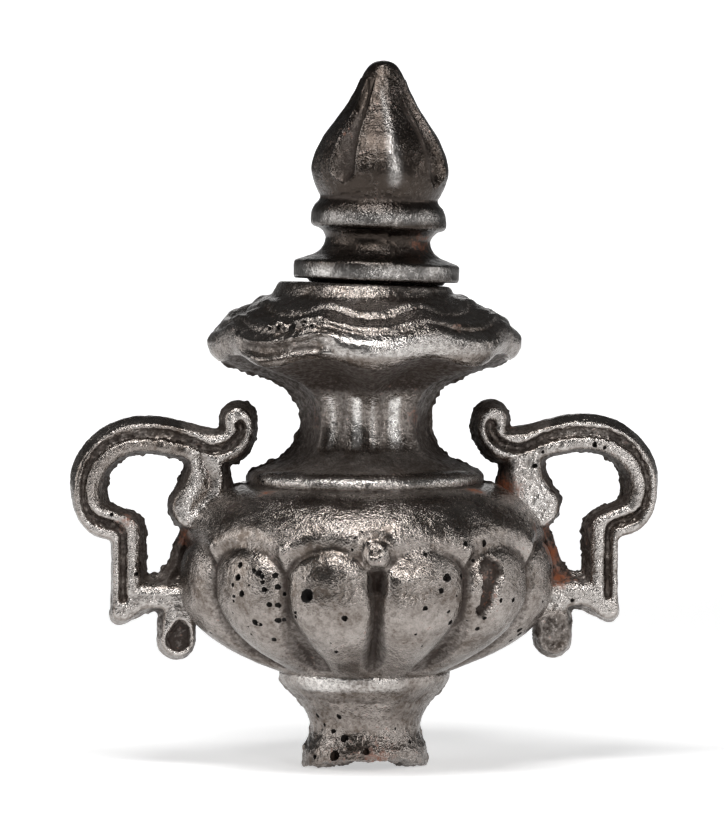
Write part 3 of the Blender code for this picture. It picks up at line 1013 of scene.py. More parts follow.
    def build(self) -> bpy.types.Object:
        """Make the belly.

        Returns:
            The finished object.
        """
        profile = self.profile()
        angle, radius, height, out, up = turned_grid(profile, self.columns)
        spots = around(angle, radius, height)
        shown = ((out * radius + up * (height - 82) > 0) & (height > 38.5)).astype(float)
        shown = np.where(np.arange(len(profile))[:, None] < self.outer_rows(profile), shown, 0)
        move = softened(self.relief(angle, radius, height), 2) + self.skin(spots)
        knob = bell(np.hypot(gap(angle, 0) * radius, height - 98), 5)
        move = move + knob * self.noise.rough(spots + 71, 2.6) * 1.1
        side = off_parting(angle) * radius
        crust = bell(side, 9) * ease((height - 84) / 12)
        move = move + crust * np.clip(self.noise.rough(spots + 3, 5.5), -0.3, 1) * 1.3
        move = move + self.flash(angle, radius, spots) * ease((height - 92) / 6) * 1.2
        floor = self.cavity_depth + self.noise.rough(spots + 33, 1.8) * 0.5
        move = (move - self.wound(angle, height) * floor) * shown
        rows = around(angle, radius + out * move, height + up * move)
        item = turned_object("urn_belly", rows, Ends.LOOP)
        return self.dress(item, self.blow_holes())

    def wound(self, angle: Array, height: Array) -> Array:
        """Return where the ragged cavity lies: 0 outside it, 1 on its floor.

        Args:
            angle: Angle of each point.
            height: Its height.

        Returns:
            One level for each point.
        """
        arc = math.radians(1) * self.widest
        line = Stroke(tuple((turn * arc, level, size) for turn, level, size in self.cavity))
        east = np.degrees(angle) * arc
        away = line.distance(east, height)
        place = np.stack([east, np.zeros_like(east), height], axis=-1)
        return ease((0.4 - away - self.noise.rough(place, 2.6) * 1.3) / 1.1)

    def grime_and_shading(self, points: Array, normals: Array) -> Array:
        """Return how soiled each point of the belly is, with painted shade in its grooves, front pit and
        hollow, on the upper shoulder under the rim and at the foot.

        Args:
            points: The points in millimetres.
            normals: Their normals.

        Returns:
            One level for each point, from 0 to 1.
        """
        angle, radius, height = round_axis(points)
        levels = np.linspace(40, 122, 60)
        plain = np.interp(height, levels, [self.bowl(level) for level in levels])
        # Grooves darker: soiling in the recess and painted shade.
        sunk = ease((plain - radius - 2.4) / 3.4) * (height > 40)
        side = off_parting(angle) * radius
        crust = bell(side, 8) * ease((height - 82) / 10) * 0.9
        sunk = sunk * mix(0.6, 0.95, ease((64 - height) / 14))
        square = bell(angle * radius, 3.6) * ease((height - 78) / 6) * ease((93 - height) / 2)
        sunk = np.maximum(sunk, square * 0.75)
        # Painted shadow on the upper shoulder under the rim, and painted shade at the foot where the belly
        # meets the base ring.
        under = ease((height - 116) / 6) * 0.45 + ease((43 - height) / 3) * 0.5
        # Painted shade on the inside of the hollow.
        inside = (radius < 70) & (normals[:, 0] * points[:, 0] + normals[:, 1] * points[:, 1] < 0)
        cavity = self.wound(angle, height) * (radius > 70)
        return np.clip(np.maximum.reduce([sunk, crust, under, inside * 1.0, cavity]), 0, 1)

    def outer_rows(self, profile: Array) -> int:
        """Return how many rows of the section face outwards."""
        return int(np.argmax(profile[:, 1] < self.last_z)) or len(profile)

    def blow_holes(self) -> list[Hole]:
        """Return the holes in the belly: those in the photograph, and strays on the sides and back.

        Returns:
            The holes.
        """
        rng = np.random.default_rng(self.stray_seed)
        strays = [
            (float(rng.uniform(60, 290)), float(rng.uniform(52, 112)), float(rng.uniform(0.5, 1.5)))
            for _ in range(self.stray_count)
        ]
        return [self.hole(*row) for row in (*self.pits, *strays)]

    def hole(self, angle: float, height: float, radius: float) -> Hole:
        """Return one hole that faces out of the belly.

        Args:
            angle: Angle in degrees.
            height: Its height.
            radius: Its half width.

        Returns:
            The hole.
        """
        plain = self.bowl(height)
        turn = np.array([math.radians(angle)])
        level = np.array([height])
        real = plain + float(self.relief(turn, np.array([plain]), level)[0])
        way = Vector(on_wall(angle, real, 0)) + Vector((0, 0, (height - 78) * 0.8))
        return Hole(on_wall(angle, real, height), tuple(way.normalized()), radius, self.hole_depth)


@dataclass
class Neck(Wall):
    """The shoulder ring, the fluted neck and the underside of the rim."""

    flute_depth: float = 2.6
    # Painted highlights: vertical streaks on the neck, as angle, width in degrees and strength.
    highlight_streaks: Points = (
        (-35.7, 5.5, 0.9), (-11.0, 6.5, 1.0), (3.0, 4.0, 0.7), (25.0, 8.5, 1.0), (128.0, 7.0, 0.9),
        (150.0, 5.0, 0.7), (171.0, 7.0, 1.0), (-162.0, 6.0, 0.8), (-136.0, 8.0, 1.0),
    )
    pits: Points = (
        (24, 29.0, 141, 0.7), (-18, 31, 160, 0.8), (41, 45, 130.5, 0.9), (150, 29, 148, 1.2),
        (200, 33, 162, 1.0), (170, 50, 125, 1.3), (-62, 50.5, 125, 0.9),
    )
    foot_z: float = 128.3
    flare_z: float = 151.5
    top_z: float = 177.7
    inner_rows: int = 22
    columns: int = 420
    row_step: float = 0.72

    def profile(self) -> Array:
        """Return the wall's closed section, top first.

        Returns:
            Rows of (radius, height).
        """
        edge = trace(
            ((52.0, 183.4), (57.0, 183.0), (60.6, 180.8), (61.8, 178.6), (60.8, 177.0)), self.row_step, 0.5
        )
        body = trace(
            ((60.8, 177.0), (54.5, 174.2), (49.3, 172.3), (43.9, 170.4), (39.8, 168.5), (36.6, 166.6),
             (34.2, 164.6), (31.6, 161.4), (29.6, 157.0), (28.2, 152.5), (28.2, 149.0), (28.9, 144.7),
             (31.2, 139.8), (33.0, 137.4), (35.4, 135.2), (38.4, 133.2), (42.0, 131.4), (46.4, 129.5)),
            self.row_step, 2.2,
        )
        ring = trace(
            ((46.4, 129.5), (47.8, 129.1), (50.3, 127.4), (51.2, 125.8), (51.2, 123.6), (50.4, 122.2)),
            self.row_step, 0.5,
        )
        outer = np.concatenate([edge, body[1:], ring[1:]])
        inner = trace(
            ((46.0, 121.0), (38.0, 123.8), (28.0, 127.0), (18.0, 129.2), (15.5, 132.0), (15.5, 151.5),
             (18.0, 163.0), (30.0, 174.0), (48.7, 183.0)),
            5.0,
        )
        return np.concatenate([outer, inner])

    def build(self) -> bpy.types.Object:
        """Make the neck.

        Returns:
            The finished object.
        """
        profile = self.profile()
        angle, radius, height, out, up = turned_grid(profile, self.columns)
        spots = around(angle, radius, height)
        outer = np.arange(len(profile))[:, None] < len(profile) - self.inner_rows
        swing = np.cos(FLUTES * angle)
        rim = ease((height - self.flare_z) / (self.top_z - self.flare_z)) * (radius > 27.5)
        flute = np.abs(np.sin(FLUTES * angle / 2)) ** 0.8
        band = ease((height - self.foot_z) / 14) * ease((self.top_z - height) / 20)
        skin = self.skin(spots)
        rough = self.noise.rough(spots + 5, 3.2) * 0.35 * ease((height - self.foot_z) / 3)
        nicks = np.clip(self.noise.at(spots + 17, 3.4) - 0.35, 0, 1) * bell(height - 125.5, 3.2)
        band = softened(band * flute, 3)
        fin = self.flash(angle, radius, spots) * ease((height - 122) / 5) * 1.15
        move = np.where(outer, skin + rough + fin - self.flute_depth * band - nicks * 1.1, 0)
        new_radius = radius + out * move - SCALLOP_NOTCH * rim * (1 - swing) / 2
        new_height = height + up * move - SCALLOP_WAVE * rim * swing
        item = turned_object("urn_neck", around(angle, new_radius, new_height), Ends.LOOP)
        return self.dress(item, wall_holes(self.pits))

    def grime_and_shading(self, points: Array, normals: Array) -> Array:
        """Return each point's level on the neck: soiled sides, painted shadow under the rim, painted shade
        in the crease below the shoulder ring and between the highlight streaks, and a darker lower cove.

        Args:
            points: The points in millimetres.
            normals: Their normals; not used.

        Returns:
            One level for each point; below 0 it is bright: painted highlight streaks, and the shoulder ring
            worn bright with a painted highlight.
        """
        angle, radius, height = round_axis(points)
        side = off_parting(angle)
        foot = ease((142 - height) / 7) * ease((height - 128.2) / 2.5) * 0.72
        # Painted shadow under the rim.
        under = ease((height - 159) / 7)
        # Painted highlights: the streaks, between the foot and the rim.
        lit = np.zeros(len(points))
        for turn, width, share in self.highlight_streaks:
            lit = np.maximum(lit, share * bell(np.degrees(gap(angle, math.radians(turn))), width))
        lit = lit * ease((height - 136) / 5) * ease((167 - height) / 7)
        reach = mix(1.08, 0.6, ease((131 - height) / 3))
        edges = np.maximum(ease((reach - side) / 0.4) * 0.95, bell(height - 122.3, 1.0))
        # Painted shade between the highlight streaks and in the crease below the shoulder ring; the lower
        # cove is darker too, and the sides soiled.
        dirt_and_shade = np.maximum.reduce([edges, foot, under, 0.6 * (1 - lit) * ease((height - 136) / 5)])
        # The shoulder ring worn bright, partly a painted highlight.
        ring = bell(height - 126.8, 1.6) * (radius > 48) * 0.45
        return np.clip(dirt_and_shade, 0, 1) - np.maximum(lit * 1.1, ring) * (1 - dirt_and_shade)


@dataclass
class Rim(Wall):
    """The scalloped rim, its stepped top and the collar that carries the bud."""

    pits: Points = (
        (-60.5, 66.0, 190.4, 2.3), (-58.0, 67.0, 187.4, 1.5), (-33.8, 62.0, 193.0, 1.9),
        (-39.5, 62.5, 192.4, 1.2), (-28.8, 60.5, 194.2, 1.3), (-44.0, 62.5, 191.8, 1.0),
        (-25.2, 61.5, 193.2, 1.0), (-36.6, 60.0, 194.4, 1.0), (-31.0, 63.6, 191.6, 0.9),
        (-41.8, 60.4, 193.8, 0.8), (36.0, 62.0, 193.4, 0.8), (-46.0, 65.5, 189.6, 0.8),
        (-25.0, 65.5, 188.6, 0.9), (12.0, 55.0, 197.0, 0.6), (58.0, 64.0, 191.0, 0.9),
        (118.0, 60.0, 194.0, 1.2), (165.0, 66.5, 187.0, 1.4), (205.0, 55.0, 197.0, 0.8),
        (240.0, 63.0, 192.0, 1.5), (252.0, 67.0, 185.0, 1.0),
    )
    lip_z: float = 183.2
    gutter_z: float = 184.4
    edge_z: float = 189.0
    collar_z: float = 206.5
    inner_rows: int = 15
    columns: int = 620
    row_step: float = 0.62

    def profile(self) -> Array:
        """Return the wall's section, from the collar's middle to the hollow's roof.

        Returns:
            Rows of (radius, height).
        """
        outer = trace(
            ((0.0, 208.7), (34.0, 208.7), (36.3, 208.5), (37.4, 207.6), (38.2, 205.8), (39.6, 204.4),
             (42.4, 203.2), (46.0, 201.7), (49.2, 200.3), (50.6, 199.3), (51.6, 197.8), (54.0, 197.0),
             (57.6, 195.8), (60.6, 194.6), (62.0, 193.5), (62.8, 191.9), (64.4, 191.0), (66.2, 189.7),
             (67.4, 188.0), (67.9, 185.6), (67.6, 183.2), (66.6, 181.0), (65.2, 179.0), (63.2, 177.5)),
            self.row_step, 0.42,
        )
        inner = trace(((60.6, 177.3), (53.0, 180.6), (48.7, 183.1), (32.0, 195.8), (0.0, 196.6)), 5.0)
        return np.concatenate([outer, inner])

    def build(self) -> bpy.types.Object:
        """Make the rim.

        Returns:
            The finished object.
        """
        profile = self.profile()
        angle, radius, height, out, up = turned_grid(profile, self.columns)
        spots = around(angle, radius, height)
        outer = np.arange(len(profile))[:, None] < len(profile) - self.inner_rows
        swing = np.cos(FLUTES * angle)
        sharp = swing - 0.18 * np.cos(2 * FLUTES * angle)
        top = (height > self.lip_z) & outer
        rim = np.where(top, ease((203.3 - height) / 14.6), 1.0)
        rim = np.where(top & (radius < 58), ease((radius - 39.5) / 13) * 0.85, rim)
        move = self.skin(spots) + self.noise.rough(spots + 5, 2.6) * 0.22
        ledge = bell(radius - 48.6, 2.2) + bell(radius - 61.0, 2.0)
        move = move + 0.55 * ledge * top
        move = move + self.corrosion(angle, radius, height, spots)
        seat = ease((radius - 33) / 4) + 0.12
        move = np.where(outer, move, 0) * np.where(height > self.collar_z, seat * 0.6, 1)
        fin = self.flash(angle, radius, spots) * ease((height - 178) / 4) * ease((190 - height) / 4)
        move = move + np.where(outer, fin * 0.45, 0)
        new_radius = radius + out * move - SCALLOP_NOTCH * rim * (1 - swing) / 2
        new_height = height + up * move - SCALLOP_WAVE * rim * np.where(top, sharp * 1.2, swing)
        tip = ease((height - 203.5) / 2.5) * outer
        east, south = new_radius * np.sin(angle), -new_radius * np.cos(angle)
        right, back = (math.tan(math.radians(tilt)) for tilt in (BUD_LEAN_RIGHT, BUD_LEAN_BACK))
        lean = right * east + back * south
        new_height = new_height - lean * tip
        item = turned_object("urn_rim", around(angle, new_radius, new_height), Ends.POLES)
        holes = []
        for row in self.pits:
            holes += wall_holes((row,), way=(0.6, 0.8 if row[2] > self.edge_z else 0.1))
        return self.dress(item, holes)

    def grime_and_shading(self, points: Array, normals: Array) -> Array:
        """Return each point's level on the rim: the corroded gutter darker, painted shade under the rim's
        edge, and a painted highlight along the front of the lip.

        Args:
            points: The points in millimetres.
            normals: Their normals; not used.

        Returns:
            One level for each point; below 0 it carries the painted highlight.
        """
        angle, radius, height = round_axis(points)
        angle = np.degrees(angle)
        lips = ease((angle + 62) / 6) * ease((-18 - angle) / 6)
        eaten = lips * bell(height - self.gutter_z, 2.6) * (radius > 60)
        # Painted shade under the rim's edge.
        under = ease((180.5 - height) / 2) * ease((62.8 - radius) / 1.5)
        dirt_and_shade = np.clip(np.maximum(eaten * 0.6, under), 0, 1)
        # Painted highlight along the front of the outer lip.
        lip = ease((height - 180) / 2) * ease((191 - height) / 2.5) * (radius > 60) * bell(angle - 8, 38)
        return dirt_and_shade - lip * 0.5 * (1 - dirt_and_shade)

    def corrosion(self, angle: Array, radius: Array, height: Array, spots: Array) -> Array:
        """Return the eaten-away gutter and the crust at the rim's left front.

        Args:
            angle: Angle of each point.
            radius: Its radius.
            height: Its height.
            spots: The points.

        Returns:
            Distances in millimetres, outwards.
        """
        along = np.degrees(angle)
        lips = ease((along + 62) / 8) * ease((-14 - along) / 8)
        eaten = self.noise.rough(spots + 9, 6.0)
        middle = self.gutter_z + self.noise.at(spots + 41, 9.0) * 0.9
        gutter = ease((3.5 - np.abs(height - middle)) / 1.5) * (radius > 63)
        lip = bell(np.abs(height - middle) - 3.7, 0.6) * (radius > 63) * 0.7
        crust = ease((along + 50) / 6) * ease((-17 - along) / 6) * bell(radius - 61.5, 4.0) * (height > 186)
        lumps = np.clip(self.noise.rough(spots + 21, 2.9), -0.7, 1)
        edge = (radius > 60) * ease((height - 178) / 3) * ease((196 - height) / 4)
        return lips * (lip - gutter * (2.5 + eaten)) + crust * (lumps * 2.6 + 0.5) + edge * eaten * 0.28


@dataclass
class Stem(Wall):
    """The base ring and the stem, broken off below."""

    pits: Points = (
        (-29.1, 25.8, 23.9, 1.2), (-38.3, 23.8, 17.2, 1.2), (-24.9, 24.0, 14.4, 1.8),
        (-56.9, 25.7, 23.4, 1.2), (-49.2, 24.2, 19.6, 0.9), (-33.0, 26.2, 6.9, 2.5),
        (-2.6, 26.0, 9.0, 1.6), (-57.3, 26.7, 5.8, 1.2), (29.7, 23.8, 18.5, 0.6),
        (47.9, 24.8, 12.2, 0.9), (140.0, 24.2, 20.0, 1.4), (205.0, 25.0, 12.0, 1.1),
        (170.0, 27.0, 27.0, 0.8), (250.0, 24.0, 18.0, 1.0),
    )
    chips: Points = (
        (-180, 4.6), (-150, 3.4), (-128, 1.4), (-98, 0.0), (-80, 0.4), (-62, 1.2), (-44, 2.6), (-30, 4.4),
        (-16, 5.6), (4, 4.6), (20, 5.8), (34, 4.8), (52, 3.0), (70, 1.0), (84, 0.0), (108, 0.2),
        (130, 2.6), (150, 4.4), (180, 4.6),
    )
    columns: int = 400
    row_step: float = 0.6

    def profile(self) -> Array:
        """Return the wall's closed section, top first.

        Returns:
            Rows of (radius, height).
        """
        outer = trace(
            ((26.0, 43.6), (34.0, 43.2), (36.4, 42.4), (37.0, 41.0), (36.6, 38.4), (35.4, 36.4),
             (33.9, 34.8), (32.3, 33.0), (29.2, 29.5), (26.8, 25.8), (24.8, 22.0), (23.8, 18.5),
             (23.8, 15.6), (24.8, 12.2), (26.1, 8.8), (26.7, 5.4), (26.7, 0.0)),
            self.row_step, 0.4,
        )
        face = trace(((25.9, 0.0), (14.6, 0.0)), 0.75)
        inner = trace(((14.4, 1.0), (15.3, 8.0), (15.5, 30.0), (15.8, 41.6)), 1.6)
        return np.concatenate([outer, face, inner])

    def build(self) -> bpy.types.Object:
        """Make the stem.

        Returns:
            The finished object.
        """
        profile = self.profile()
        angle, radius, height, out, up = turned_grid(profile, self.columns)
        spots = around(angle, radius, height)
        shown = ease((40.5 - height) / 3)
        move = (self.skin(spots) + self.noise.rough(spots + 5, 3.0) * 0.4) * shown
        move = move + self.flash(angle, radius, spots) * shown * (radius > 20) * 0.8
        table = np.array(self.chips)
        lift = np.interp(np.degrees(angle), table[:, 0], table[:, 1])
        grit = spots * np.array([1, 1, 0])
        jag = self.noise.rough(grit, 4.0) * 1.5 + self.noise.at(grit + 5, 1.4) * 0.5
        near = 1 - np.clip(height / 12, 0, 1)
        edge = ease((radius - 14) / 11)
        rise = np.clip(lift * mix(0.55, 1.0, edge) + jag + 0.5, 0.0, None) * near**1.4
        new_height = np.clip(height + up * move * (height > 2) + rise, 0.03, None)
        item = turned_object("urn_stem", around(angle, radius + out * move, new_height), Ends.LOOP)
        return self.dress(item, wall_holes(self.pits, 1.6))

    def grime_and_shading(self, points: Array, normals: Array) -> Array:
        """Return each point's level on the stem: painted shade in the bore, in the crease under the base
        ring and down the right side, darker on the broken face, and a painted highlight on the base ring.

        Args:
            points: The points in millimetres.
            normals: Their normals; not used.

        Returns:
            One level for each point; below 0 it carries the painted highlight.
        """
        angle, radius, height = round_axis(points)
        angle = np.degrees(angle)
        # Painted shade inside the bore; darker on the broken face below.
        inside = ease((20 - radius) / 3)
        below = ease((2.5 - height) / 2) * ease((25.5 - radius) / 2) * 0.8
        # Painted shade in the crease under the base ring.
        waist = bell(height - 31.5, 2.2) * 0.55
        ring = ease((height - 34.5) / 1.5) * (radius > 30)
        # Painted highlight on the base ring, strongest at its left front.
        lit = ring * (bell(angle + 34, 20) * 0.75 + bell(angle - 8, 18) * 0.35)
        # Painted shade down the right side.
        shaded = ease((angle - 18) / 40) * ease((118 - angle) / 20) * 0.36
        dirt_and_shade = np.clip(np.maximum.reduce([inside, below, waist, shaded]), 0, 1)
        return dirt_and_shade - lit * (1 - dirt_and_shade)


# Handles

@dataclass(frozen=True)
class Stroke:
    """A line of (outwards, height, half width) points in millimetres."""

    points: Points

    def distance(self, east: Array, height: Array) -> Array:
        """Return how far each place lies outside the stroke, negative inside.

        Args:
            east: Distance of each place from the axis.
            height: Its height.

        Returns:
            One distance for each place.
        """
        best = np.full(east.shape, 1e9)
        line = self.smoothed()
        for (ax, az, aw), (bx, bz, bw) in zip(line, line[1:]):
            dx, dz = bx - ax, bz - az
            long = max(dx * dx + dz * dz, 1e-9)
            share = np.clip(((east - ax) * dx + (height - az) * dz) / long, 0, 1)
            away = np.hypot(east - ax - share * dx, height - az - share * dz)
            best = np.minimum(best, away - (aw + (bw - aw) * share))
        return best

    def smoothed(self) -> Array:
        """Return the stroke's points with a smooth curve through them.

        Returns:
            Rows of (outwards, height, half width).
        """
        line = np.array(self.points, dtype=float)
        if len(line) == 2:
            return line
        padded = np.concatenate([[2 * line[0] - line[1]], line, [2 * line[-1] - line[-2]]])
        result = []
        for index in range(len(line) - 1):
            before, start, end, after = padded[index:index + 4]
            for share in np.linspace(0, 1, 6)[:-1]:
                square, cube = share * share, share**3
                result.append(0.5 * (2 * start + (end - before) * share
                                     + (2 * before - 5 * start + 4 * end - after) * square
                                     + (3 * start - before - 3 * end + after) * cube))
        return np.array([*result, line[-1]])


def blend_strokes(
    strokes: tuple[Stroke, ...], east: Array, height: Array, round_mm: float = 0.6
) -> Array:
    """Return the distance outside a group of strokes, with rounded inner corners.

    Args:
        strokes: The strokes.
        east: Distance of each place from the axis.
        height: Its height.
        round_mm: Reach of the rounding.

    Returns:
        One distance for each place, negative inside.
    """
    total = np.zeros(east.shape)
    for stroke in strokes:
        total += np.exp(-stroke.distance(east, height) / round_mm)
    return -round_mm * np.log(np.maximum(total, 1e-30))


class Side(Enum):
    """Which of the two handles."""

    RIGHT = 1
    LEFT = -1


@dataclass
class Handle:
    """A scrolled handle: drafted straps with a channel between raised rims, both faces alike."""

    side: Side
    noise: CastNoise
    holes: BlowHoles
    finishes: Finishes
    weathering_and_shading: WeatheringAndShading
    half_depth: float = 10.4
    cell: float = 0.6
    voxel: float = 0.62
    east_range: tuple[float, float] = (44.0, 130.0)
    height_range: tuple[float, float] = (44.0, 162.0)
    edge_mm: float = 0.45
    outline_round: float = 0.9
    face_round: float = 0.7
    outline: tuple[Stroke, ...] = (
        Stroke((
            (54.5, 150.3, 8.4), (54.5, 145.2, 8.2), (57.5, 140.4, 8.6), (63.1, 138.3, 8.2),
            (69.6, 138.9, 8.2), (79.5, 141.7, 8.2), (92.4, 144.1, 8.2), (103.2, 142.8, 8.1),
            (112.2, 137.4, 8.1), (117.9, 129.2, 8.1), (118.7, 120.6, 8.0), (117.2, 112.9, 7.9),
            (113.3, 107.9, 7.8), (107.5, 106.0, 7.4), (103.2, 104.3, 7.0),
        )),
        Stroke(((101.7, 102.5, 7.6), (101.6, 72.4, 7.6))),
        Stroke(((102.3, 70.4, 6.2), (105.0, 66.9, 4.2))),
        Stroke(((67.9, 137.0, 9.2), (69.1, 126.2, 9.6), (70.9, 119.8, 10.2), (73.9, 113.6, 10.9))),
        Stroke((
            (106.2, 66.3, 3.7), (102.3, 70.7, 5.6), (94.1, 75.3, 7.8), (85.9, 75.8, 8.0), (66.0, 75.8, 8.4),
        )),
        Stroke(((80.3, 70.2, 8.4), (81.2, 61.6, 8.4), (81.4, 55.1, 8.4))),
        Stroke(((61.8, 131.8, 2.2), (60.5, 124.9, 3.0), (59.7, 117.6, 4.3))),
        Stroke(((76.9, 102.5, 2.4), (80.4, 93.9, 2.8), (82.2, 87.0, 3.4), (87.0, 80.1, 3.6))),
    )
    face: tuple[Stroke, ...] = (
        Stroke((
            (55.0, 150.2, 5.2), (54.4, 145.4, 5.0), (57.4, 140.3, 5.2), (63.4, 138.3, 5.4),
            (70.3, 138.5, 5.4), (80.2, 141.3, 5.4), (93.1, 143.3, 5.5), (103.5, 142.0, 5.3),
            (112.0, 137.1, 5.0), (118.2, 129.7, 4.7), (120.8, 121.3, 4.6), (119.8, 113.6, 4.9),
            (116.6, 108.4, 5.3), (112.5, 106.2, 5.6), (106.9, 104.5, 5.4),
        )),
        Stroke(((103.7, 103.2, 5.4), (103.7, 90.3, 5.3), (103.7, 71.8, 5.3), (106.0, 68.3, 3.0))),
        Stroke(((105.2, 69.6, 3.0), (102.6, 71.8, 3.7), (96.6, 73.9, 3.7), (88.8, 74.1, 3.7),
                (81.9, 73.1, 3.9), (66.0, 72.6, 3.9))),
        Stroke(((68.6, 136.8, 6.0), (68.6, 126.9, 6.2), (69.9, 120.5, 7.3), (72.5, 114.9, 8.6),
                (74.2, 113.0, 8.8))),
        Stroke(((80.2, 68.8, 5.6), (80.6, 62.3, 6.2), (81.1, 56.6, 6.7))),
    )
    channel: tuple[Stroke, ...] = (
        Stroke((
            (53.9, 148.6, 1.8), (53.5, 146.8, 1.9), (54.8, 143.3, 2.0), (59.1, 139.4, 2.0),
            (65.1, 137.9, 1.9), (70.3, 139.2, 2.0), (75.9, 141.8, 2.2), (84.5, 144.3, 2.3),
            (93.1, 145.0, 2.3), (101.8, 144.4, 2.2), (109.8, 141.5, 2.0), (116.3, 135.9, 1.7),
            (120.2, 129.2, 1.3), (121.7, 121.3, 1.1), (120.5, 113.6, 1.3), (116.4, 108.3, 1.8),
            (110.4, 106.0, 2.0), (105.6, 103.7, 1.7), (104.5, 96.8, 1.5), (104.5, 74.1, 1.4),
        )),
    )
    eye: Stroke = Stroke(((80.0, 62.6, 2.2), (80.2, 59.6, 4.2), (80.8, 56.4, 5.4)))
    valley: Stroke = Stroke((
        (70.4, 134.0, 1.6), (67.2, 126.5, 1.8), (68.0, 119.5, 1.6), (72.6, 112.5, 1.2),
    ))
    vein: Stroke = Stroke((
        (84.0, 143.6, 0.0), (93.4, 145.1, 0.0), (97.5, 145.3, 0.0), (104.0, 144.3, 0.0),
    ))
    webs: tuple[Stroke, ...] = (
        Stroke(((61.8, 131.8, 2.2), (60.5, 124.9, 3.0), (59.7, 117.6, 4.3))),
        Stroke(((77.4, 101.0, 2.4), (80.4, 93.9, 2.8), (82.2, 87.0, 3.4), (86.0, 82.5, 3.2))),
    )
    opening: Stroke = Stroke((
        (110.0, 119.5, 0), (106.0, 126.0, 0), (98.0, 128.0, 0), (89.0, 126.5, 0), (85.0, 119.0, 0),
        (89.0, 110.0, 0), (90.0, 101.0, 0), (89.5, 90.0, 0),
    ))
    channel_depth: float = 3.4
    valley_depth: float = 2.3
    flank_foot: float = 2.4

    def build(self) -> bpy.types.Object:
        """Make the handle.

        Returns:
            The finished object.
        """
        name = f"handle_{self.side.name.lower()}"
        item = self.slab(name)
        step = item.modifiers.new("Skin", "REMESH")
        step.mode = "VOXEL"
        step.voxel_size = self.voxel * MM
        baked(item)
        self.roughen(item)
        item.data.materials.clear()
        item.data.materials.append(self.finishes.urn)
        self.holes.cut(item, self.blow_holes())
        settle(item, self.weathering_and_shading, "urn", self.grime_and_shading)
        return item

    def inward(self, points: Array, normals: Array) -> Array:
        """Return how far each point faces the handle's opening, 0 to 1.

        Args:
            points: The points in millimetres.
            normals: Their normals.

        Returns:
            One share for each point.
        """
        sign = np.sign(points[:, 0])
        east, height = np.abs(points[:, 0]), points[:, 2]
        here = self.opening.distance(east, height)
        ahead = self.opening.distance(east + normals[:, 0] * sign, height + normals[:, 2])
        facing = ease((here - ahead + 0.15) / 0.4)
        hook = ease((66 - east) / 6) * ease(-normals[:, 0] * sign / 0.5) * (height > 112)
        notch = ease((here - 9) / 4) * ease((96 - east) / 4) * ease(-normals[:, 2] / 0.4)
        return np.maximum.reduce([facing, hook, notch * (np.abs(height - 68) < 7)])

    def grime_and_shading(self, points: Array, normals: Array) -> Array:
        """Return each point's level on the handle: a soiled channel, painted shade on the flanks near the
        belly, the inner walls and the webs, partly unbrushed soiling too, and rims worn bright.

        Args:
            points: The points in millimetres.
            normals: Their normals.

        Returns:
            One level for each point; below 0 it is worn bright.
        """
        east, height = np.abs(points[:, 0]), points[:, 2]
        sunk = blend_strokes(self.dents(), east, height)
        face = ease((np.abs(points[:, 1]) - 5) / 2)
        channel = ease((0.9 - sunk) / 2.8) * face * 0.60
        if self.side is Side.RIGHT:
            channel = channel * mix(0.8, 0.3, ease((66 - east) / 6))
        # Painted shade on the flanks near the belly, on the walls that face the opening and on the webs,
        # partly unbrushed soiling as well.
        flank = ease((0.72 - np.abs(normals[:, 1])) / 0.3)
        root = ease((84 - east) / 8) * flank
        web = ease((1.2 - blend_strokes(self.webs, east, height)) / 1.6)
        web = web * ease((9.6 - np.abs(points[:, 1])) / 2)
        inner = flank * self.inward(points, normals)
        blob = ease((12 - np.hypot(east - 81, height - 58)) / 5) * (self.side is Side.RIGHT) * 0.72
        eye = ease((0.6 - self.eye.distance(east, height)) / 1.6) * face * (self.side is Side.LEFT)
        dirt_and_shade = np.clip(np.maximum.reduce([channel, inner, root * 0.8, web, blob, eye]), 0, 1)
        calm = ease((height - 112) / 12) * ease((east - 74) / 8) * (self.side is Side.LEFT)
        dirt_and_shade = np.maximum(dirt_and_shade, calm * 0.28)
        rims = ease((np.abs(normals[:, 1]) - 0.8) / 0.15) * ease((np.abs(points[:, 1]) - 8.4) / 1.0)
        rims = rims * (1 - calm * 0.8)
        foot = bell(np.hypot(east - 73, height - 115), 8)
        return dirt_and_shade - rims * mix(0.32, 0.55, foot) * (1 - dirt_and_shade)

    def dents(self) -> tuple[Stroke, ...]:
        """Return the dark hollows of this handle's faces; only the left one's lower scroll has an eye."""
        return (*self.channel, self.eye) if self.side is Side.LEFT else self.channel

    def depth(self, east: Array, height: Array, outside: Array) -> Array:
        """Return the handle's half thickness at each place.

        Args:
            east: Distance out from the axis.
            height: Height.
            outside: Distance outside the outline, negative inside.

        Returns:
            Half thicknesses in millimetres.
        """
        off_face = blend_strokes(self.face, east, height, self.face_round)
        inside = np.clip(-outside, 0, None)
        share = inside / np.maximum(inside + np.clip(off_face, 0, None), 1e-6)
        flank = mix(self.flank_foot, self.half_depth, ease(share * 0.96 + 0.04) ** 0.75)
        level = np.where(off_face < 0, self.half_depth, flank)
        level -= bell(np.clip(-off_face, 0, None), 0.8) * 0.7
        sunk = blend_strokes(self.dents(), east, height)
        level -= self.channel_depth * ease((0.9 - sunk) / 2.4)
        if self.side is Side.LEFT:
            level -= ease((3.4 - self.valley.distance(east, height)) / 6.5) * self.valley_depth
        else:
            level -= ease((2.0 - self.eye.distance(east, height)) / 5) * 1.2
        return level + bell(self.vein.distance(east, height), 0.6) * 0.9

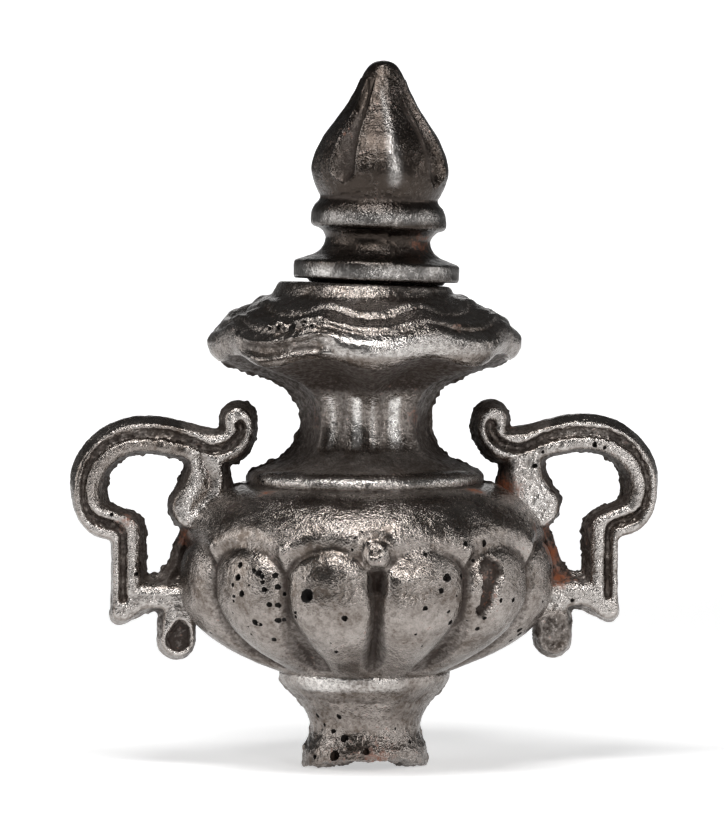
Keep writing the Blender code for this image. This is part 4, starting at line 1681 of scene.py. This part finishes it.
    def slab(self, name: str) -> bpy.types.Object:
        """Make the handle's solid on a grid, ready for its skin.

        Args:
            name: Name of the object.

        Returns:
            The object.
        """
        east, height = np.meshgrid(
            np.arange(*self.east_range, self.cell), np.arange(*self.height_range, self.cell), indexing="ij"
        )
        outside = blend_strokes(self.outline, east, height, self.outline_round)
        slope_x, slope_z = np.gradient(outside, self.cell)
        size = np.maximum(np.hypot(slope_x, slope_z), 0.3)
        near = (outside > -0.3) & (outside < self.edge_mm)
        shift = np.where(near, outside / size**2, 0)
        east_in = east - slope_x * shift
        height_in = height - slope_z * shift
        keep = outside < self.edge_mm
        level = self.depth(east_in, height_in, np.minimum(outside, 0))
        full = keep[:-1, :-1] & keep[1:, :-1] & keep[1:, 1:] & keep[:-1, 1:]
        used = np.zeros(keep.shape, dtype=bool)
        for x, z in ((0, 0), (1, 0), (1, 1), (0, 1)):
            used[x:used.shape[0] - 1 + x, z:used.shape[1] - 1 + z] |= full
        index = np.full(keep.shape, -1)
        index[used] = np.arange(used.sum())
        count = int(used.sum())
        sign = self.side.value
        front = np.stack([east_in[used] * sign, -level[used], height_in[used]], axis=1)
        back = np.stack([east_in[used] * sign, level[used], height_in[used]], axis=1)
        corners = [index[:-1, :-1][full], index[1:, :-1][full], index[1:, 1:][full], index[:-1, 1:][full]]
        quads = np.stack(corners, axis=1)
        order = quads if sign > 0 else quads[:, ::-1]
        faces = order.tolist() + (order[:, ::-1] + count).tolist()
        faces += self.rim_faces(order, count)
        mesh = bpy.data.meshes.new(name)
        mesh.from_pydata((np.concatenate([front, back]) * MM).tolist(), [], faces)
        mesh.update()
        return new_object(name, mesh)

    @staticmethod
    def rim_faces(quads: Array, count: int) -> list[list[int]]:
        """Return the side faces that join the front's open edges to the back's.

        Args:
            quads: The front's faces.
            count: How many points the front has.

        Returns:
            The points of each face.
        """
        starts = quads.ravel()
        ends = np.roll(quads, -1, axis=1).ravel()
        known = set(zip(starts.tolist(), ends.tolist()))
        return [[b, a, a + count, b + count] for a, b in known if (b, a) not in known]

    def roughen(self, item: bpy.types.Object) -> None:
        """Give the skin its casting roughness and its parting flash.

        Args:
            item: The handle.
        """
        mesh = item.data
        points, normals = points_of(mesh), normals_of(mesh)
        shift = 40.0 if self.side is Side.LEFT else 90.0
        spots = points + shift
        level = self.noise.rough(spots, 4.2) * 0.34 + self.noise.at(spots + 11, 1.5) * 0.13
        sunk = blend_strokes(self.dents(), np.abs(points[:, 0]), points[:, 2])
        level += ease((0.9 - sunk) / 1.5) * self.noise.rough(spots + 67, 2.2) * 0.8
        if self.side is Side.RIGHT:
            off = np.hypot(points[:, 0] - 81, points[:, 2] - 58)
            level += ease((11 - off) / 5) * self.noise.rough(spots + 77, 3.4) * 1.5
        flat = 1 - np.abs(normals[:, 1])
        parting = bell(points[:, 1] + self.noise.at(spots, 9) * 0.8, 0.8) * flat
        jag = self.noise.at(spots + 3, 2.4) * 1.1 + self.noise.at(spots + 29, 1.2) * 0.6 + 0.25
        inner = 0.12 + 0.88 * self.inward(points, normals)
        level += parting * np.clip(jag, 0, 1.7) * inner
        flank = flat * (np.abs(points[:, 1]) < 9)
        level += flank * np.clip(self.noise.rough(spots + 51, 3.0), -0.4, 1) * 0.5 * inner
        set_points(mesh, points + normals * level[:, None])

    def blow_holes(self) -> list[Hole]:
        """Return the holes in the handle.

        Returns:
            The holes.
        """
        front = (0.0, -1.0, 0.0)
        back = (0.0, 1.0, 0.0)
        if self.side is Side.LEFT:
            places = ((109.5, 110.5, 0.9), (98.9, 84.7, 1.1), (98.9, 88.6, 0.6))
        else:
            places = ((98.6, 139.4, 1.4), (102.9, 138.1, 0.8), (89.1, 72.2, 0.9), (76.2, 136.4, 0.8),
                      (72.7, 130.4, 1.2))
        sign = self.side.value
        holes = [Hole((x * sign, -self.half_depth, z), front, size, 2.0) for x, z, size in places]
        strays = ((106.0, 84.0, 0.9), (86.0, 139.0, 1.1), (72.0, 114.0, 1.3))
        return holes + [Hole((x * sign, self.half_depth, z), back, size, 2.0) for x, z, size in strays]


# Bud

@dataclass
class Bud:
    """The four-sided bud with its ring, cove and disc, cast in two halves that don't quite meet."""

    noise: CastNoise
    finishes: Finishes
    weathering_and_shading: WeatheringAndShading
    offset: float = 5.0
    seat_z: float = 208.82
    turn: float = 8.0
    hollows: int = 4
    hollow_depth: float = 4.4
    hollow_half: float = 12.5
    petal_foot: float = 41.6
    petal_tip: float = 88.0
    slip: float = 0.6
    columns: int = 380
    row_step: float = 0.62

    def profile(self) -> Array:
        """Return the bud's section from tip to seat, above its seat.

        Returns:
            Rows of (radius, height).
        """
        body = trace(
            ((0.0, 96.2), (3.2, 95.8), (5.6, 94.6), (7.4, 92.4), (8.7, 90.0), (11.3, 83.8),
             (14.8, 76.9), (19.6, 70.0), (24.7, 63.0), (28.2, 56.0), (29.6, 50.6), (29.6, 47.6),
             (28.0, 42.2), (26.2, 38.6)),
            self.row_step, 1.8,
        )
        foot = trace(
            ((26.2, 38.6), (25.2, 36.9), (25.8, 35.4), (27.8, 33.4), (29.0, 30.6), (29.3, 27.6),
             (29.2, 25.2), (28.2, 24.0), (25.6, 23.4), (23.6, 21.6), (22.6, 19.2), (23.2, 16.4),
             (24.6, 14.2), (27.4, 12.2), (31.7, 10.6), (34.4, 9.7), (35.6, 8.9), (35.7, 7.0),
             (35.6, 2.4), (35.2, 1.4), (29.4, 1.3), (29.0, 0.0), (0.0, 0.0)),
            self.row_step, 0.55,
        )
        return np.concatenate([body, foot[1:]])

    def build(self) -> bpy.types.Object:
        """Make the bud.

        Returns:
            The finished object.
        """
        profile = self.profile()
        angle, radius, height, out, up = turned_grid(profile, self.columns)
        spots = around(angle, radius, height)
        level = self.petals(angle, radius, height)
        level = level + self.noise.at(spots, 20) * 0.25 + self.noise.rough(spots + 5, 4.0) * 0.2
        level = level + self.seam(angle, radius, height, spots)
        body = ease((height - 1.4) / 1.2)
        level = level * body
        half = ease((gap(angle, 0) * radius + 0.4) / 0.8) * ease((math.pi - gap(angle, 0)) * radius / 0.8)
        slipped = -self.slip * half * ease((height - 2) / 4) * ease((62 - height) / 20)
        new_radius = np.clip(radius + out * level, 0, None)
        new_height = height + up * level + slipped
        item = turned_object("bud_finial_dressed", around(angle, new_radius, new_height), Ends.POLES)
        item.data.transform(self.pose())
        item.data.materials.append(self.finishes.bud)
        settle(item, self.weathering_and_shading, "bud_finial", self.grime_and_shading)
        return item

    def grime_and_shading(self, points: Array, normals: Array) -> Array:
        """Return each point's level on the bud: soiling and painted shade in its hollows and coves, a
        painted highlight down one keel, and the ring and disc worn bright.

        Args:
            points: The points in millimetres.
            normals: Their normals; not used.

        Returns:
            One level for each point; below 0 it is bright: the painted keel highlight and the worn ring and
            disc.
        """
        angle, _, height = round_axis(points - np.array([self.offset, 0.0, 0.0]))
        angle, level = angle - math.radians(self.turn), height - self.seat_z
        off = self.off_hollow(angle)
        # Petal hollows darker: soiling and painted shade.
        inside = ease((self.hollow_half - off) / 5) * ease((level - 42) / 4) * ease((90 - level) / 20)
        # Painted shade in the coves of the foot, with soiling.
        cove = bell(level - 37.5, 1.4) * 0.5 + bell(level - 15.0, 3.0) * 0.35
        cove = cove + bell(level - 24.0, 1.2) * 0.4
        dirt_and_shade = np.clip(inside * 0.65 + cove, 0, 1)
        # Painted highlight down the one keel that faces the front.
        keel = bell(np.degrees(np.remainder(angle + math.pi, FULL_TURN) - math.pi) - 5, 5)
        strength = mix(0.45, 0.25, ease((level - 55) / 12))
        keel = keel * ease((level - 41) / 6) * ease((88 - level) / 12) * strength
        edges = bell(level - 29, 2.6) * 0.34 + bell(level - 6, 3.0) * 0.42
        return dirt_and_shade - np.maximum(keel, edges) * (1 - dirt_and_shade)

    def pose(self) -> Matrix:
        """Return how the bud sits on the collar: off the axis, turned and leaning.

        Returns:
            Its place and turn, in metres.
        """
        lean = Euler((-math.radians(BUD_LEAN_BACK), math.radians(BUD_LEAN_RIGHT), 0)).to_matrix().to_4x4()
        turn = Matrix.Rotation(math.radians(self.turn), 4, "Z")
        drop = math.tan(math.radians(BUD_LEAN_RIGHT)) * self.offset
        return Matrix.Translation(Vector((self.offset, 0, self.seat_z - drop)) * MM) @ lean @ turn

    def off_hollow(self, angle: Array) -> Array:
        """Return the degrees between each point and the middle of its hollow."""
        step = FULL_TURN / self.hollows
        return np.degrees(np.abs(np.remainder(angle, step) - step / 2))

    def petals(self, angle: Array, radius: Array, height: Array) -> Array:
        """Return the hollows between the petals, with a thin lip round each.

        Args:
            angle: Angle of each point.
            radius: Its radius.
            height: Its height.

        Returns:
            Distances in millimetres, outwards.
        """
        off = self.off_hollow(angle)
        share = np.clip((height - self.petal_foot) / (self.petal_tip - self.petal_foot), 0, 1)
        spread = ease(share / 0.16) ** 0.6 * (1 - 0.30 * share)
        narrow = self.hollow_half * spread * np.where(share > 0.55, 1 + (share - 0.55) * 0.9, 1)
        inside = off / np.maximum(narrow, 0.2)
        deep = self.hollow_depth * ease(share / 0.14) * (1 - share) ** 0.5
        dip = -deep * np.clip(1 - inside**2.2, 0, 1) ** 0.7
        lip = bell((inside - 1.08) * narrow * radius * math.pi / 180, 0.9) * 0.75 * ease(share / 0.1)
        keel = bell(off - 45, 7) * 0.5 * ease(share / 0.2)
        return (dip + lip * (1 - share) ** 0.3 + keel) * (share > 0) * (share < 1)

    def seam(self, angle: Array, radius: Array, height: Array, spots: Array) -> Array:
        """Return the thin fin where the mould's halves met.

        Args:
            angle: Angle of each point.
            radius: Its radius.
            height: Its height.
            spots: The points.

        Returns:
            Distances in millimetres, outwards.
        """
        near = np.minimum(np.abs(gap(angle, 0)), np.abs(gap(angle, math.pi))) * radius
        jag = np.clip(self.noise.at(spots + 61, 3.0) + 0.35, 0, 1)
        return bell(near, 0.45) * jag * 0.55 * ease((60 - height) / 20)


# Studio

@dataclass
class Studio:
    """The pale floor, the lights and the camera."""

    azimuth: float = -4.0
    elevation: float = 3.8
    distance: float = 3.5
    frame_height: float = 0.3584
    sensor: float = 24.0
    target: tuple[float, float, float] = (-0.0011, 0.0, 0.1516)
    middle: float = 0.15
    floor_half: float = 4.0
    curve: float = 0.8
    backdrop_top: float = 1.6
    pale_half: float = 0.95
    near_glow: float = 0.50
    far_glow: float = 1.0
    dim_glow: float = 0.10
    air: float = 0.07

    def build(self) -> None:
        """Set up the studio."""
        self.floor()
        self.lights()
        self.camera()

    def floor(self) -> None:
        """Make a floor that curves up into the backdrop, pale under the urn and behind it; the paper glows
        as painted light, most far behind the urn and faintly outside the pale strip.
        """
        half, curve = self.floor_half, self.curve
        line = [(float(y), 0.0) for y in np.linspace(-half, half, 65)]
        for step in range(1, 13):
            turn = math.pi / 2 * step / 12
            line.append((half + curve * math.sin(turn), curve - curve * math.cos(turn)))
        line.append((half + curve, self.backdrop_top))
        across = np.linspace(-half, half, 81)
        points = np.array([(x, y, z) for x in across for y, z in line])
        count = len(line)
        faces = [
            (j * count + i, (j + 1) * count + i, (j + 1) * count + i + 1, j * count + i + 1)
            for j in range(len(across) - 1) for i in range(count - 1)
        ]
        mesh = bpy.data.meshes.new("studio_floor")
        mesh.from_pydata(points.tolist(), [], faces)
        mesh.shade_smooth()
        aside = np.abs(points[:, 0] - math.tan(math.radians(-self.azimuth)) * points[:, 1])
        pale = ease((self.pale_half - aside) / 0.45) * ease((points[:, 1] + 0.75) / 0.3)
        far = ease((points[:, 1] - 0.5) / 1.4)
        write_values(mesh, "pale", pale)
        glow = pale * mix(self.near_glow, self.far_glow, far) + (1 - pale) * self.dim_glow
        write_values(mesh, "glow", glow)
        material, book = new_material("studio_paper")
        values = {
            "Base Color": book.mix(book.value("pale"), (0.32, 0.32, 0.32, 1), (0.9, 0.9, 0.9, 1)),
            "Emission Color": book.mix(book.value("glow"), (0, 0, 0, 1), (1, 1, 1, 1)),
            "Roughness": 0.9, "Emission Strength": 1.0,
        }
        book.surface(values)
        mesh.materials.append(material)
        new_object("studio_floor", mesh)

    def lamp(
        self, name: str, azimuth: float, rise: float, away: float, size: tuple[float, float], power: float
    ) -> None:
        """Add a soft light that faces the urn.

        Args:
            name: Name of the light.
            azimuth: Way round from the front, in degrees.
            rise: Angle above the floor, in degrees.
            away: Distance from the urn.
            size: Width and height.
            power: Power in watts.
        """
        rise = math.radians(rise)
        place = Vector(on_wall(azimuth, away * math.cos(rise), away * math.sin(rise)))
        data = bpy.data.lights.new(name, "AREA")
        data.shape = "RECTANGLE"
        data.size, data.size_y = size
        data.energy = power
        item = bpy.data.objects.new(name, data)
        item.location = place
        aim = Vector((0, 0, self.middle)) - place
        item.rotation_euler = aim.to_track_quat("-Z", "Y").to_euler()
        bpy.context.scene.collection.objects.link(item)

    def lights(self) -> None:
        """Add the soft lights and the dim surroundings."""
        self.lamp("key", -16, 62, 2.2, (1.1, 0.6), 30)
        self.lamp("front", 20, 18, 2.4, (0.36, 1.10), 15)
        self.lamp("left", -84, 16, 2.0, (0.9, 1.5), 14)
        self.lamp("right", 84, 12, 2.0, (0.9, 1.5), 10)
        world = bpy.data.worlds.new("studio_air")
        world.use_nodes = True
        shade = world.node_tree.nodes["Background"]
        shade.inputs["Color"].default_value = (1, 1, 1, 1)
        shade.inputs["Strength"].default_value = self.air
        bpy.context.scene.world = world

    def camera(self) -> None:
        """Set the camera at the photograph's angle."""
        data = bpy.data.cameras.new("view")
        data.sensor_fit = "VERTICAL"
        data.sensor_height = self.sensor
        data.lens = self.sensor * self.distance / self.frame_height
        item = bpy.data.objects.new("view", data)
        turn, rise = math.radians(self.azimuth), math.radians(self.elevation)
        way = Vector((math.sin(turn) * math.cos(rise), -math.cos(turn) * math.cos(rise), math.sin(rise)))
        item.location = Vector(self.target) + way * self.distance
        item.rotation_euler = (-way).to_track_quat("-Z", "Y").to_euler()
        bpy.context.scene.collection.objects.link(item)
        bpy.context.scene.camera = item
        bpy.context.scene.view_settings.view_transform = "Standard"


def rust_spots() -> tuple[RustSpot, ...]:
    """Return where rust shows on both castings.

    Returns:
        The spots.
    """
    on_the_wall = (
        (-50, 58, 123, 4, 0.9), (52, 57, 123, 5, 1.0), (84, 62, 120, 7, 1.0), (78, 81, 84, 6, 0.9),
        (76, 80, 94, 6, 0.9), (70, 76, 105, 5, 0.7), (-58, 30, 152, 5, 0.8), (48, 30, 152, 5, 0.7),
        (36, 62, 193, 3, 0.8), (5, 26, 2, 12, 0.7), (-30, 26, 1, 9, 0.6), (38, 78, 89, 5, 0.36),
        (37, 78, 79, 4, 0.36), (60, 25, 226, 7, 0.7), (-12, 76, 49, 3, 0.8), (160, 60, 122, 8, 0.7),
        (205, 30, 145, 8, 0.7),
    )
    on_handles = (
        (-75.5, -4, 101, 6, 1.0), (75, -4, 103, 6, 1.0), (80, -4, 92, 6, 1.0), (83, -5, 80, 6, 1.0),
        (59, 0, 146, 5, 1.0), (-104, -9, 107, 5, 0.6), (-68, -4, 124, 5, 0.7),
    )
    spots = [RustSpot(on_wall(*row[:3]), *row[3:]) for row in on_the_wall]
    return tuple(spots + [RustSpot(row[:3], *row[3:]) for row in on_handles])


def main() -> None:
    """Build the castings and the studio in order."""
    logging.basicConfig(level=logging.INFO, format="%(message)s", stream=sys.stdout)
    finishes = Finishes()
    holes = BlowHoles(finishes.pit)
    weathering_and_shading = WeatheringAndShading(rust_spots())
    noise = CastNoise(NOISE_SEED)
    common = (noise, holes, finishes, weathering_and_shading)
    for part in (Rim(*common), Neck(*common), Belly(*common), Stem(*common)):
        part.build()
    for side in Side:
        Handle(side, *common).build()
    Bud(noise, finishes, weathering_and_shading).build()
    Studio().build()


if __name__ == "__main__":
    main()
